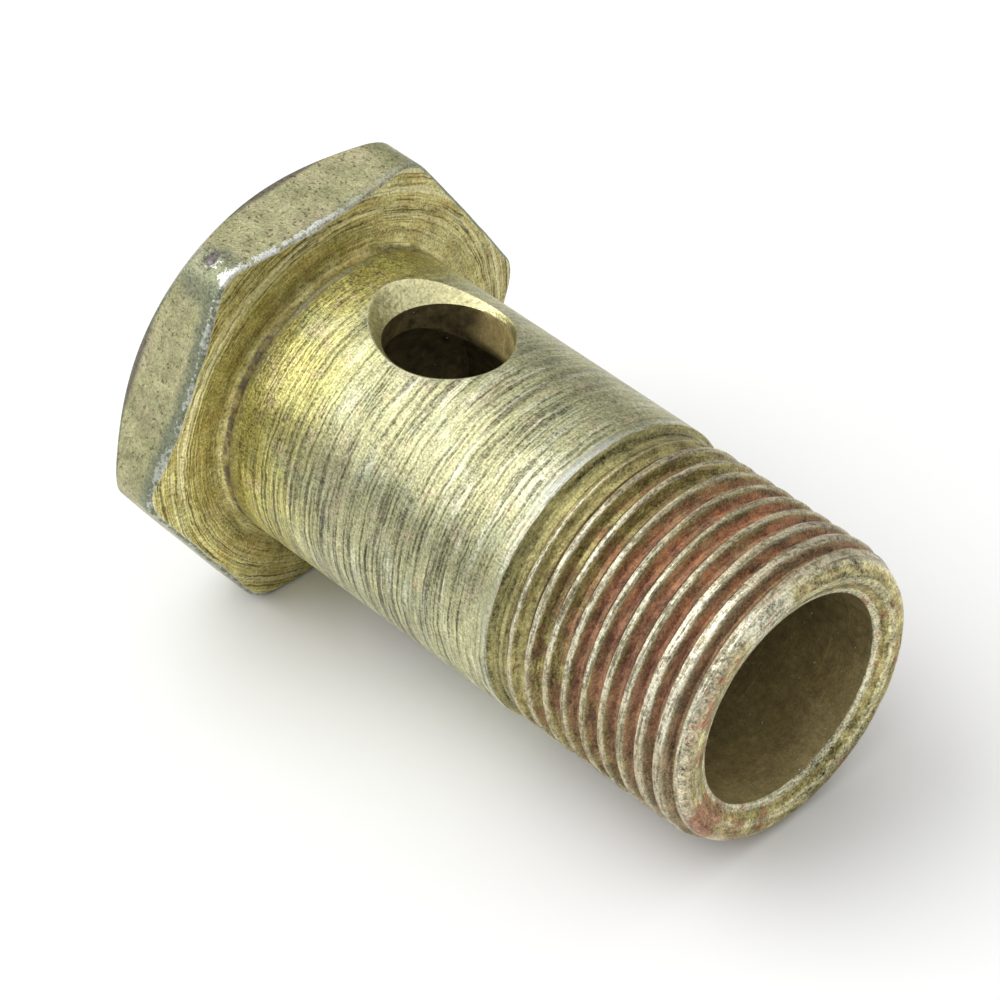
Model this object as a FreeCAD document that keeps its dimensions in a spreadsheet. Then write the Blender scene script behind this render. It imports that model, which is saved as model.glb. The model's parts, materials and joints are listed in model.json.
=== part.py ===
import FreeCAD, Part
import math
import os
import Sketcher

# Banjo bolt: a hollow, cross-drilled bolt with a plain shank, a fine-threaded end and a thin hexagon head.
# It is drawn along its own +X, with X = 0 at the underside of the head, and is then laid down the way it
# comes to rest: on one flat of the head and on its threaded end.
# Lengths are in millimetres and angles in degrees. The threaded end is plain over its crests, because the
# fine thread is a matter of finish, and a run-out neck sets it off from the shank.

# Driving sizes: name, value, meaning
SIZES = [
    ("shank_diameter", 19.9, "plain shank"),
    ("shank_length", 23.3, "underside of the head to the edge of the run-out neck"),
    ("neck_radius", 0.7, "fillet between the head and the shank"),
    ("thread_diameter", 19.7, "over the crests of the 1.5 mm pitch thread"),
    ("runout_length", 1.7, "run-out neck, from the shank's edge to the first crest"),
    ("runout_depth", 0.4, "depth of the run-out neck below the crests"),
    ("reach", 38.8, "underside of the head to the threaded end"),
    ("nose_length", 1.65, "taper over the last turns of the thread"),
    ("nose_slope", 24.0, "slope of that taper from the axis"),
    ("lip_radius", 0.8, "rounding of the lip at the threaded end"),
    ("across_flats", 27.0, "hexagon head"),
    ("head_height", 5.5, "hexagon head, from its underside to its top"),
    ("corner_radius", 2.5, "rounding of the six corners of the head"),
    ("top_inset", 0.35, "flats to the circle where the top chamfer begins"),
    ("top_slope", 40.0, "slope of the top chamfer from the top face"),
    ("seat_inset", 0.9, "flats to the circle where the sealing face ends"),
    ("seat_slope", 15.0, "slope of the shallow cone outside the sealing face"),
    ("bore_diameter", 14.0, "blind bore from the threaded end"),
    ("bore_overrun", 0.8, "full bore beyond the far side of the cross hole"),
    ("drill_point", 118.0, "point angle of the drill that made the bore"),
    ("mouth_width", 1.1, "dished ring round the mouth of the bore"),
    ("mouth_depth", 0.6, "depth of that dish"),
    ("port_diameter", 8.0, "cross hole through both walls of the shank"),
    ("port_distance", 8.8, "underside of the head to the middle of the cross hole"),
    ("port_turn", 51.7, "turn of the cross hole about the bolt from the flat on +Y"),
    ("port_bevel", 1.35, "countersink of the cross hole, measured on the crown"),
    ("port_slope", 45.0, "slope of the countersink from the cross hole's axis"),
]

doc = FreeCAD.newDocument("BanjoBolt")
sheet = doc.addObject("Spreadsheet::Sheet", "Sizes")
for row, (alias, value, meaning) in enumerate(SIZES, start=1):
    sheet.set("A%d" % row, alias)
    sheet.set("B%d" % row, str(value))
    sheet.set("C%d" % row, meaning)
    sheet.setAlias("B%d" % row, alias)
doc.recompute()

body = doc.addObject("PartDesign::Body", "Bolt")
body.Label = "banjo_bolt"


def size(alias):
    """Reads a driving size from the sheet."""
    return float(sheet.get(alias))


def slope(alias):
    """Reads an angle from the sheet and gives its tangent."""
    return math.tan(math.radians(size(alias)))


def new_sketch(name, role):
    """Makes an empty sketch of the body on one of the body's own origin planes."""
    plane = next(item for item in body.Origin.OriginFeatures if item.Role == role)
    sketch = body.newObject("Sketcher::SketchObject", name)
    sketch.AttachmentSupport = [(plane, "")]
    sketch.MapMode = "FlatFace"
    return sketch


def draw_outline(sketch, corners):
    """Draws a closed outline through its corners, and holds its level and upright sides so."""
    count = len(corners)
    for side in range(count):
        start = FreeCAD.Vector(*corners[side], 0)
        finish = FreeCAD.Vector(*corners[(side + 1) % count], 0)
        sketch.addGeometry(Part.LineSegment(start, finish), False)
        if abs(start.y - finish.y) < 1e-6:
            sketch.addConstraint(Sketcher.Constraint("Horizontal", side))
        elif abs(start.x - finish.x) < 1e-6:
            sketch.addConstraint(Sketcher.Constraint("Vertical", side))
    for side in range(count):
        sketch.addConstraint(Sketcher.Constraint("Coincident", side, 2, (side + 1) % count, 1))


def bind(sketch, name, constraint, expression):
    """Adds a named dimension to a sketch and ties it to the sheet."""
    index = sketch.addConstraint(constraint)
    sketch.renameConstraint(index, name)
    sketch.setExpression("Constraints." + name, expression)


def bind_across(sketch, name, corner, expression):
    """Ties a corner's distance from the sketch's upright axis to the sheet."""
    now = sketch.Geometry[corner].StartPoint.x
    bind(sketch, name, Sketcher.Constraint("DistanceX", -1, 1, corner, 1, now), expression)


def bind_up(sketch, name, corner, expression):
    """Ties a corner's distance from the sketch's level axis to the sheet."""
    now = sketch.Geometry[corner].StartPoint.y
    bind(sketch, name, Sketcher.Constraint("DistanceY", -1, 1, corner, 1, now), expression)


def put_on_axis(sketch, corner):
    """Keeps a corner on the sketch's level axis, which is the bolt's own axis."""
    sketch.addConstraint(Sketcher.Constraint("PointOnObject", corner, 1, -1))


def turn_profile(kind, name, sketch, axis):
    """Revolves a sketch all the way round as a Revolution or a Groove."""
    feature = body.newObject("PartDesign::" + kind, name)
    feature.Profile = sketch
    feature.ReferenceAxis = (sketch, [axis])
    feature.Angle = 360.0
    doc.recompute()
    return feature


def round_edges(name, base, wanted, expression):
    """Rounds the edges of a feature that pass a test, to a radius from the sheet."""
    edges = ["Edge%d" % number for number, edge in enumerate(base.Shape.Edges, start=1) if wanted(edge)]
    if not edges:
        raise RuntimeError(name + ": no edge to round")
    feature = body.newObject("PartDesign::Fillet", name)
    feature.Base = (base, edges)
    feature.setExpression("Radius", expression)
    doc.recompute()
    return feature


def lies_along_bolt(edge):
    """Tells whether an edge is straight and runs along the bolt's axis."""
    if not isinstance(edge.Curve, Part.Line):
        return False
    return abs(edge.Curve.Direction.x) > 0.999


def ring_at(place, radius):
    """Makes a test for the round edge of one radius at one place along the bolt's axis."""
    def wanted(edge):
        """Tells whether an edge is that ring."""
        if not isinstance(edge.Curve, Part.Circle):
            return False
        near = abs(edge.Curve.Center.x - place) < 1e-4
        return near and abs(edge.Curve.Radius - radius) < 1e-4
    return wanted


# Head: a hexagon with one pair of flats square to Y
corner_distance = size("across_flats") / 2 / math.cos(math.radians(30))
head_sketch = new_sketch("HeadOutline", "YZ_Plane")
head_corners = []
for step in range(6):
    angle = math.radians(30 - 60 * step)
    direction = FreeCAD.Vector(math.cos(angle), math.sin(angle), 0)
    head_corners.append(direction * corner_distance)
for step in range(6):
    head_sketch.addGeometry(Part.LineSegment(head_corners[step], head_corners[(step + 1) % 6]), False)
corner_circle = Part.Circle(FreeCAD.Vector(0, 0, 0), FreeCAD.Vector(0, 0, 1), corner_distance)
head_sketch.addGeometry(corner_circle, True)
head_sketch.addConstraint(Sketcher.Constraint("Coincident", 6, 3, -1, 1))
for step in range(6):
    head_sketch.addConstraint(Sketcher.Constraint("Coincident", step, 2, (step + 1) % 6, 1))
    head_sketch.addConstraint(Sketcher.Constraint("PointOnObject", step, 1, 6))
for step in range(1, 6):
    head_sketch.addConstraint(Sketcher.Constraint("Equal", 0, step))
head_sketch.addConstraint(Sketcher.Constraint("Vertical", 0))
bind(head_sketch, "across_corners", Sketcher.Constraint("Diameter", 6, 2 * corner_distance),
     "Sizes.across_flats / cos(30 deg)")

head = body.newObject("PartDesign::Pad", "Head")
head.Profile = head_sketch
head.Reversed = True
head.setExpression("Length", "Sizes.head_height")
doc.recompute()
head_rounded = round_edges("HeadCorners", head, lies_along_bolt, "Sizes.corner_radius")

# Turned faces of the head: the chamfer on top, and the shallow cone outside the sealing face
outside = 0.7 * size("across_flats")
top_start = size("across_flats") / 2 - size("top_inset")
top_sketch = new_sketch("TopChamferOutline", "XY_Plane")
draw_outline(top_sketch, [
    (-size("head_height"), top_start),
    (-size("head_height"), outside),
    (-size("head_height") + (outside - top_start) * slope("top_slope"), outside),
])
bind_across(top_sketch, "top_face", 0, "-Sizes.head_height")
bind_up(top_sketch, "top_circle", 0, "Sizes.across_flats / 2 - Sizes.top_inset")
bind_up(top_sketch, "outside", 1, "0.7 * Sizes.across_flats")
bind_across(top_sketch, "chamfer_depth", 2,
            "(0.2 * Sizes.across_flats + Sizes.top_inset) * tan(Sizes.top_slope * 1 deg) - Sizes.head_height")
top_chamfer = turn_profile("Groove", "TopChamfer", top_sketch, "H_Axis")

seat_start = size("across_flats") / 2 - size("seat_inset")
seat_sketch = new_sketch("SeatBevelOutline", "XY_Plane")
draw_outline(seat_sketch, [
    (0, seat_start),
    (0, outside),
    (-(outside - seat_start) * slope("seat_slope"), outside),
])
seat_sketch.addConstraint(Sketcher.Constraint("PointOnObject", 0, 1, -2))
bind_up(seat_sketch, "seat_circle", 0, "Sizes.across_flats / 2 - Sizes.seat_inset")
bind_up(seat_sketch, "outside", 1, "0.7 * Sizes.across_flats")
bind_across(seat_sketch, "bevel_depth", 2,
            "-(0.2 * Sizes.across_flats + Sizes.seat_inset) * tan(Sizes.seat_slope * 1 deg)")
seat_bevel = turn_profile("Groove", "SeatBevel", seat_sketch, "H_Axis")

# Shank, run-out neck and threaded end, as one turned profile that starts inside the head
shank_radius = size("shank_diameter") / 2
thread_radius = size("thread_diameter") / 2
neck_floor = thread_radius - size("runout_depth")
thread_start = size("shank_length") + size("runout_length")
taper_start = size("reach") - size("nose_length")
nose_corner = thread_radius - size("nose_length") * slope("nose_slope")
shank_sketch = new_sketch("ShankOutline", "XY_Plane")
draw_outline(shank_sketch, [
    (-size("head_height") / 2, 0),
    (-size("head_height") / 2, shank_radius),
    (size("shank_length"), shank_radius),
    (size("shank_length") + size("runout_depth"), neck_floor),
    (thread_start - size("runout_depth"), neck_floor),
    (thread_start, thread_radius),
    (taper_start, thread_radius),
    (size("reach"), nose_corner),
    (size("reach"), 0),
])
put_on_axis(shank_sketch, 0)
bind_across(shank_sketch, "inside_head", 0, "-Sizes.head_height / 2")
bind_up(shank_sketch, "shank_radius", 2, "Sizes.shank_diameter / 2")
bind_across(shank_sketch, "shank_length", 2, "Sizes.shank_length")
bind_across(shank_sketch, "neck_start", 3, "Sizes.shank_length + Sizes.runout_depth")
bind_up(shank_sketch, "neck_floor", 3, "Sizes.thread_diameter / 2 - Sizes.runout_depth")
bind_across(shank_sketch, "neck_end", 4, "Sizes.shank_length + Sizes.runout_length - Sizes.runout_depth")
bind_across(shank_sketch, "thread_start", 5, "Sizes.shank_length + Sizes.runout_length")
bind_up(shank_sketch, "thread_radius", 5, "Sizes.thread_diameter / 2")
bind_across(shank_sketch, "taper_start", 6, "Sizes.reach - Sizes.nose_length")
bind_across(shank_sketch, "reach", 7, "Sizes.reach")
bind_up(shank_sketch, "nose_corner", 7,
        "Sizes.thread_diameter / 2 - Sizes.nose_length * tan(Sizes.nose_slope * 1 deg)")
shank = turn_profile("Revolution", "Shank", shank_sketch, "H_Axis")

# The neck fillet takes up at most half of the sealing face
neck_fillet = round_edges("NeckFillet", shank, ring_at(0, shank_radius),
                          "min(Sizes.neck_radius; (Sizes.across_flats / 2 - Sizes.seat_inset"
                          " - Sizes.shank_diameter / 2) / 2)")
lip = round_edges("Lip", neck_fillet, ring_at(size("reach"), nose_corner), "Sizes.lip_radius")

# Blind bore: the dished mouth, the full bore and the cone that the drill left beyond the cross hole
bore_radius = size("bore_diameter") / 2
bore_bottom = size("port_distance") - size("port_diameter") / 2 - size("bore_overrun")
bore_tip = bore_bottom - bore_radius / math.tan(math.radians(size("drill_point") / 2))
mouth_floor = size("reach") - size("mouth_depth")
mouth_radius = bore_radius + size("mouth_width")
bore_sketch = new_sketch("BoreOutline", "XY_Plane")
draw_outline(bore_sketch, [
    (bore_tip, 0),
    (bore_bottom, bore_radius),
    (mouth_floor, bore_radius),
    (size("reach"), mouth_radius),
    (size("reach") + 1, mouth_radius),
    (size("reach") + 1, 0),
])
put_on_axis(bore_sketch, 0)
bind_across(bore_sketch, "bore_bottom", 1,
            "Sizes.port_distance - Sizes.port_diameter / 2 - Sizes.bore_overrun")
bind_up(bore_sketch, "bore_radius", 1, "Sizes.bore_diameter / 2")
bind(bore_sketch, "drill_point", Sketcher.Constraint("Angle", 0, math.radians(size("drill_point") / 2)),
     "Sizes.drill_point / 2 * 1 deg")
bind_across(bore_sketch, "mouth_floor", 2, "Sizes.reach - Sizes.mouth_depth")
bind_across(bore_sketch, "reach", 3, "Sizes.reach")
bind_up(bore_sketch, "mouth_radius", 3, "Sizes.bore_diameter / 2 + Sizes.mouth_width")
bind_across(bore_sketch, "beyond_end", 4, "Sizes.reach + 1")
bore = turn_profile("Groove", "Bore", bore_sketch, "H_Axis")

# Cross hole through both walls, countersunk from both sides, revolved about its own axis
port_radius = size("port_diameter") / 2
bevel_floor = shank_radius - size("port_bevel") / slope("port_slope")
beyond_shank = shank_radius + 1
bevel_top = port_radius + size("port_bevel") + slope("port_slope")
port_sketch = new_sketch("PortOutline", "XY_Plane")
port_turn = FreeCAD.Rotation(FreeCAD.Vector(1, 0, 0), size("port_turn"))
port_sketch.AttachmentOffset = FreeCAD.Placement(FreeCAD.Vector(size("port_distance"), 0, 0), port_turn)
port_sketch.setExpression("AttachmentOffset.Base.x", "Sizes.port_distance")
port_sketch.setExpression("AttachmentOffset.Rotation.Angle", "Sizes.port_turn * 1 deg")
draw_outline(port_sketch, [
    (0, -beyond_shank),
    (bevel_top, -beyond_shank),
    (port_radius, -bevel_floor),
    (port_radius, bevel_floor),
    (bevel_top, beyond_shank),
    (0, beyond_shank),
])
port_sketch.addConstraint(Sketcher.Constraint("PointOnObject", 0, 1, -2))
bind_across(port_sketch, "port_radius", 3, "Sizes.port_diameter / 2")
port_ends = (("upper", 1, 3, 4), ("lower", -1, 2, 1))
for end, side, floor_corner, top_corner in port_ends:
    bind_up(port_sketch, end + "_floor", floor_corner,
            "%d * (Sizes.shank_diameter / 2 - Sizes.port_bevel / tan(Sizes.port_slope * 1 deg))" % side)
    bind_up(port_sketch, end + "_top", top_corner, "%d * (Sizes.shank_diameter / 2 + 1)" % side)
    bind_across(port_sketch, end + "_width", top_corner,
                "Sizes.port_diameter / 2 + Sizes.port_bevel + tan(Sizes.port_slope * 1 deg)")
port = turn_profile("Groove", "Port", port_sketch, "V_Axis")
body.Tip = port

# Rest position: one flat faces the ground and meets it with its rim under the head. The other contact is
# where the taper of the threaded end begins, so the bolt dips a little towards its threaded end.
flat_distance = size("across_flats") / 2
rim_place = -size("seat_inset") * slope("seat_slope")
dip = math.degrees(math.atan2(flat_distance - thread_radius, taper_start - rim_place))
roll_turn = FreeCAD.Rotation(FreeCAD.Vector(1, 0, 0), 30)
dip_turn = FreeCAD.Rotation(FreeCAD.Vector(0, 1, 0), dip)
pose = dip_turn.multiply(roll_turn)
lift = flat_distance * math.cos(math.radians(dip)) + rim_place * math.sin(math.radians(dip))
body.Placement = FreeCAD.Placement(FreeCAD.Vector(0, 0, lift), pose)
doc.recompute()
extent = body.Shape.optimalBoundingBox(False, False)
body.Placement = FreeCAD.Placement(FreeCAD.Vector(-extent.Center.x, 0, lift), pose)
doc.recompute()


def check_document():
    """Stops with a message if any object failed, any sketch is loose or a feature changed nothing."""
    for item in doc.Objects:
        if "Invalid" in item.State or "Error" in item.State:
            raise RuntimeError(item.Name + " failed to recompute")
        if item.TypeId == "Sketcher::SketchObject" and not item.FullyConstrained:
            raise RuntimeError(item.Name + " is not fully constrained")
    grows = {head_rounded: False, top_chamfer: False, seat_bevel: False, shank: True,
             neck_fillet: True, lip: False, bore: False, port: False}
    before = head.Shape.Volume
    for feature, adds in grows.items():
        after = feature.Shape.Volume
        if (after > before) != adds:
            raise RuntimeError(feature.Name + " has the wrong effect on the volume")
        before = after
    shape = body.Shape
    if shape.isNull() or not shape.isValid() or len(shape.Solids) != 1:
        raise RuntimeError("the bolt is not one valid solid")


check_document()
os.makedirs("parts", exist_ok=True)
body.Shape.exportStep("parts/" + body.Label + ".step")
print("dip %.3f degrees, volume %.1f cubic millimetres" % (dip, body.Shape.Volume))
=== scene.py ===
"""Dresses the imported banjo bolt: one closed piece with fine thread, tool marks and worn plating."""

import sys

import json
import logging
import math
from dataclasses import dataclass
from enum import Enum
from typing import Iterable, NamedTuple, Sequence

import bmesh
import bpy
import numpy as np
from mathutils import Euler, Matrix, Vector, noise


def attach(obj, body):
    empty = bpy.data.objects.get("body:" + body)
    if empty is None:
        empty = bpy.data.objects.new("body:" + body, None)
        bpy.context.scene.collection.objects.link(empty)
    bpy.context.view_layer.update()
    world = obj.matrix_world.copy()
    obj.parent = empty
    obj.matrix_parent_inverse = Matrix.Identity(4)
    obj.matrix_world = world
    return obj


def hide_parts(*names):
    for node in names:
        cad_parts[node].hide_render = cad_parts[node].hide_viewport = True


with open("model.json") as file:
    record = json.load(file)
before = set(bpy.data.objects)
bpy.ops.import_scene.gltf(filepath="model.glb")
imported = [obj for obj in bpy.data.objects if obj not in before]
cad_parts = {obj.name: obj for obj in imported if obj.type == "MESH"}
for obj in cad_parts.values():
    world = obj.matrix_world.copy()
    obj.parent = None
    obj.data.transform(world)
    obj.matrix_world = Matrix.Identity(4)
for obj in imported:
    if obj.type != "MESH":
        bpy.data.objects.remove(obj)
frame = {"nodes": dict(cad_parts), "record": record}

log = logging.getLogger("banjo_bolt")

MM = 0.001
"""One millimetre, in metres. The bolt's surface is worked out in millimetres."""

AROUND = 288
"""Vertices in one ring of the bolt."""

MERGE = 0.004
"""Points nearer than this, in millimetres, are one vertex where two stretches of the surface meet."""

NO_LENGTH = 1e-5
"""Edges shorter than this, in millimetres, are taken away."""

FAR = 4.0
"""Distance from a worn edge, in bright bands, that stands for every place further off."""

MARKS = ("edge", "groove", "flank")
"""Attributes of the bolt's points that its finishes read; Skin.add says what they hold."""

Colour = tuple[float, float, float, float]

Span = float | np.ndarray
"""A length that holds for a whole ring, or one for each of its vertices."""

Number = "Value | float"
"""A number in a node tree: one that the tree works out, or a plain one."""

Tint = "Value | Colour"
"""A colour in a node tree: one that the tree works out, or a plain one."""


def srgb(red: int, green: int, blue: int) -> Colour:
    """Gives the linear colour that shows as these 0 to 255 values.

    Args:
        red: Red, 0 to 255.
        green: Green, 0 to 255.
        blue: Blue, 0 to 255.

    Returns:
        Linear red, green, blue and an alpha of one.
    """
    def linear(value: int) -> float:
        """Takes one channel out of the display curve."""
        share = value / 255.0
        return share / 12.92 if share <= 0.04045 else ((share + 0.055) / 1.055) ** 2.4
    return (linear(red), linear(green), linear(blue), 1.0)


def smooth_step(values: np.ndarray, low: float, high: float) -> np.ndarray:
    """Rises smoothly from 0 at low to 1 at high."""
    share = np.clip((values - low) / (high - low), 0.0, 1.0)
    return share * share * (3.0 - 2.0 * share)


def wander(points: np.ndarray, scale: float, seed: float) -> np.ndarray:
    """Samples smooth noise at places on the bolt.

    Args:
        points: Places, in millimetres, with the last axis holding x, y and z.
        scale: Waves per millimetre.
        seed: Shift that picks another stretch of the noise.

    Returns:
        Noise from about -1 to 1, with the shape of points less its last axis.
    """
    flat = points.reshape(-1, 3) * scale + seed
    found = np.array([noise.noise(Vector(place)) for place in flat])
    return found.reshape(points.shape[:-1])


def at_angle(x: float, radius: float, degrees: float) -> tuple[float, float, float]:
    """Gives a place on the bolt from its distance along it, its radius and its angle from level."""
    turn = math.radians(degrees)
    return (x, radius * math.cos(turn), radius * math.sin(turn))


class Zone(Enum):
    """Stretches of the surface that were made, and wear, each in its own way."""

    HEAD = 0
    UNDERSIDE = 1
    SHANK = 2
    THREAD = 3
    NOSE = 4
    BORE = 5
    BEVEL = 6


class Row(NamedTuple):
    """One ring of the surface about an axis: its place along the axis, its radius and its nearness to wear.

    The edge is the distance from a worn edge, as a share of that edge's bright band.
    """

    place: Span
    radius: Span
    edge: Span = FAR


def spread(values: Iterable[Span], angles: np.ndarray) -> np.ndarray:
    """Gives a row for each of the values, with a column for each angle."""
    return np.stack([np.broadcast_to(value, angles.shape) for value in values])


def edges_of(rows: Sequence[Row], angles: np.ndarray) -> np.ndarray:
    """Gives the distances of rows from a worn edge, with a column for each angle."""
    return spread((row.edge for row in rows), angles)


def turned(rows: Sequence[Row], angles: np.ndarray) -> np.ndarray:
    """Sweeps rows round the bolt's axis.

    Args:
        rows: The rows, in order.
        angles: Angle of each column.

    Returns:
        The places, as rows by columns by three.
    """
    level = spread((row.place for row in rows), angles)
    radius = spread((row.radius for row in rows), angles)
    return np.stack([level, radius * np.cos(angles), radius * np.sin(angles)], axis=-1)


def arc(centre: tuple[Span, Span], radius: Span, degrees: tuple[float, float], steps: int,
        edge: float = FAR) -> list[Row]:
    """Gives the rows of a round stretch of a profile.

    Args:
        centre: Distance along the bolt and radius of the arc's centre.
        radius: Radius of the arc.
        degrees: Angles of the first and the last row, from straight outward towards the threaded end.
        steps: Number of rows.
        edge: Their distance from a worn edge.

    Returns:
        The rows in order.
    """
    turns = np.radians(np.linspace(degrees[0], degrees[1], steps))
    return [Row(centre[0] + radius * math.sin(turn), centre[1] + radius * math.cos(turn), edge)
            for turn in turns]


@dataclass(frozen=True)
class BoltFrame:
    """Where the bolt lies: X from under the head to the threaded end, Y level, Z up and leaning with it."""

    origin: Vector
    along: Vector
    across: Vector
    up: Vector

    @classmethod
    def from_mounts(cls, mounts: dict[str, dict]) -> "BoltFrame":
        """Reads the bolt's axes from the record's mounts.

        Args:
            mounts: The record's mounts by name.

        Returns:
            The frame, with its origin on the axis at the sealing face.
        """
        along = Vector(mounts["shank"]["axis"]).normalized()
        across = Vector((0.0, 1.0, 0.0))
        middle = Vector(mounts["shank"]["pos_m"])
        seat = Vector(mounts["sealing_face"]["pos_m"])
        return cls(middle + along * (seat - middle).dot(along), along, across, along.cross(across))

    def matrix(self) -> Matrix:
        """Gives the matrix from the bolt's millimetres to the row's metres."""
        turn = Matrix((self.along, self.across, self.up)).transposed().to_4x4()
        return Matrix.Translation(self.origin) @ turn @ Matrix.Scale(MM, 4)

    def distance(self, place: Sequence[float]) -> float:
        """Gives how far along the bolt a place of the row's frame lies, in millimetres."""
        return (Vector(place) - self.origin).dot(self.along) / MM


@dataclass(frozen=True)
class MainSizes:
    """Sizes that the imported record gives, in millimetres and radians."""

    shank_radius: float
    shank_end: float
    thread_radius: float
    taper_start: float
    bore_radius: float
    bore_floor: float
    bore_mouth: float
    port_radius: float
    port_place: float
    port_angle: float
    head_top: float
    reach: float

    @classmethod
    def from_frame(cls, bolt: BoltFrame, mounts: dict[str, dict], node: bpy.types.Object) -> "MainSizes":
        """Reads the sizes from the mounts and from the solid's reach along the axis.

        Args:
            bolt: Where the bolt lies.
            mounts: The record's mounts by name.
            node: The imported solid.

        Returns:
            The main sizes.
        """
        def stretch(name: str) -> tuple[float, float]:
            """Gives where a round mount's wall starts and ends along the bolt."""
            middle = bolt.distance(mounts[name]["pos_m"])
            half = mounts[name]["dims"]["length_mm"] / 2
            return middle - half, middle + half

        port = Vector(mounts["cross_hole"]["axis"])
        places = [bolt.distance(vertex.co) for vertex in node.data.vertices]
        return cls(
            shank_radius=mounts["shank"]["dims"]["r_mm"],
            shank_end=stretch("shank")[1],
            thread_radius=mounts["threaded_end"]["dims"]["r_mm"],
            taper_start=stretch("threaded_end")[1],
            bore_radius=mounts["bore"]["dims"]["r_mm"],
            bore_floor=stretch("bore")[0],
            bore_mouth=stretch("bore")[1],
            port_radius=mounts["cross_hole"]["dims"]["r_mm"],
            port_place=bolt.distance(mounts["cross_hole"]["pos_m"]),
            port_angle=math.atan2(port.dot(bolt.up), port.dot(bolt.across)),
            head_top=min(places),
            reach=max(places),
        )

    def ring_angles(self) -> np.ndarray:
        """Gives the angles of one ring's vertices, the first in line with the cross hole."""
        return self.port_angle + 2 * math.pi * np.arange(AROUND) / AROUND


class Skin:
    """Gathers the stretches of the bolt's surface, in millimetres, and merges them into one closed mesh."""

    def __init__(self) -> None:
        """Starts with nothing."""
        self.points: list[np.ndarray] = []
        self.faces: list[np.ndarray] = []
        self.zones: list[np.ndarray] = []
        self.marks: dict[str, list[np.ndarray]] = {label: [] for label in MARKS}
        self.count = 0

    def add(self, points: np.ndarray, faces: np.ndarray, zone: Zone, **marks: np.ndarray) -> None:
        """Adds loose points and the four-sided faces between them.

        Args:
            points: Places, one row each.
            faces: Four indices into points in each row.
            zone: The stretch that the faces belong to.
            marks: The points' attributes, 0 where they aren't given. Edge is the distance from a worn
                edge, as a share of that edge's bright band. Groove is the depth in the thread, from 0 on a
                crest to 1 at the root. Flank is the same depth on flanks that face the head, and less than
                0 on the others.
        """
        self.points.append(points)
        self.faces.append(faces + self.count)
        self.zones.append(np.full(len(faces), zone.value))
        for label, values in self.marks.items():
            values.append(marks.get(label, np.zeros(len(points))))
        self.count += len(points)

    def add_grid(self, points: np.ndarray, zone: Zone, edge: Span = FAR, closed: bool = True) -> None:
        """Adds rows of points as a grid of faces.

        Args:
            points: Places, as rows by columns by three.
            zone: The stretch that the grid belongs to.
            edge: Distance from a worn edge in bright bands, for all points or for each.
            closed: Whether the last column joins the first.
        """
        rows, columns = points.shape[:2]
        steps = columns if closed else columns - 1
        row, column = np.meshgrid(np.arange(rows - 1), np.arange(steps), indexing="ij")
        after = (column + 1) % columns
        faces = np.stack([row * columns + column, row * columns + after,
                          (row + 1) * columns + after, (row + 1) * columns + column], axis=-1)
        near = np.broadcast_to(np.minimum(edge, FAR), (rows, columns)).ravel()
        self.add(points.reshape(-1, 3), faces.reshape(-1, 4), zone, edge=near)

    def add_rows(self, rows: Sequence[Row], angles: np.ndarray, zone: Zone, closed: bool = True) -> None:
        """Adds rows that are swept round the bolt's axis.

        Args:
            rows: The rows, in order.
            angles: Angle of each column.
            zone: The stretch that they belong to.
            closed: Whether the last column joins the first.
        """
        self.add_grid(turned(rows, angles), zone, edges_of(rows, angles), closed)

    def add_mesh(self, mesh: bpy.types.Mesh, zone: Zone) -> None:
        """Adds a mesh of four-sided faces that carries its own groove depths and flanks.

        Args:
            mesh: The mesh, in millimetres.
            zone: The stretch that it belongs to.
        """
        count = len(mesh.vertices)
        places = np.empty(count * 3)
        mesh.vertices.foreach_get("co", places)
        marks = {"edge": np.full(count, FAR)}
        for label in ("groove", "flank"):
            marks[label] = np.empty(count)
            mesh.attributes[label].data.foreach_get("value", marks[label])
        faces = [list(polygon.vertices) for polygon in mesh.polygons]
        padded = np.array([face + face[-1:] * (4 - len(face)) for face in faces])
        self.add(places.reshape(-1, 3), padded, zone, **marks)

    def to_mesh(self, name: str, matrix: Matrix, smooth_below: float) -> bpy.types.Mesh:
        """Merges the stretches into one closed mesh.

        Args:
            name: Name of the mesh.
            matrix: From the bolt's millimetres to the row's metres.
            smooth_below: Edges that turn by less than this many degrees are shaded smooth.

        Returns:
            The mesh, with its normals outward, its zones as material indices and its marks as attributes.
        """
        zones = np.concatenate(self.zones)
        mesh = bpy.data.meshes.new(name)
        loose = [list(dict.fromkeys(face)) for face in np.concatenate(self.faces).tolist()]
        kept = [index for index, face in enumerate(loose) if len(face) > 2]
        mesh.from_pydata(np.concatenate(self.points).tolist(), [], [loose[index] for index in kept])
        mesh.polygons.foreach_set("material_index", zones[kept].astype(np.int32))
        for label, values in self.marks.items():
            layer = mesh.attributes.new(label, "FLOAT", "POINT")
            layer.data.foreach_set("value", np.concatenate(values).astype(np.float32))
        work = bmesh.new()
        work.from_mesh(mesh)
        bmesh.ops.remove_doubles(work, verts=work.verts, dist=MERGE)
        bmesh.ops.dissolve_degenerate(work, edges=work.edges, dist=NO_LENGTH)
        bmesh.ops.recalc_face_normals(work, faces=work.faces)
        open_edges = sum(1 for edge in work.edges if len(edge.link_faces) != 2)
        volume = work.calc_volume(signed=True)
        if volume < 0:
            bmesh.ops.reverse_faces(work, faces=work.faces)
        work.to_mesh(mesh)
        work.free()
        mesh.transform(matrix)
        mesh.shade_smooth()
        mesh.set_sharp_from_angle(angle=math.radians(smooth_below))
        triangles = sum(len(polygon.vertices) - 2 for polygon in mesh.polygons)
        log.info("%s: %d triangles, %.1f cubic millimetres, %d open edges",
                 name, triangles, abs(volume), open_edges)
        return mesh


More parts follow.
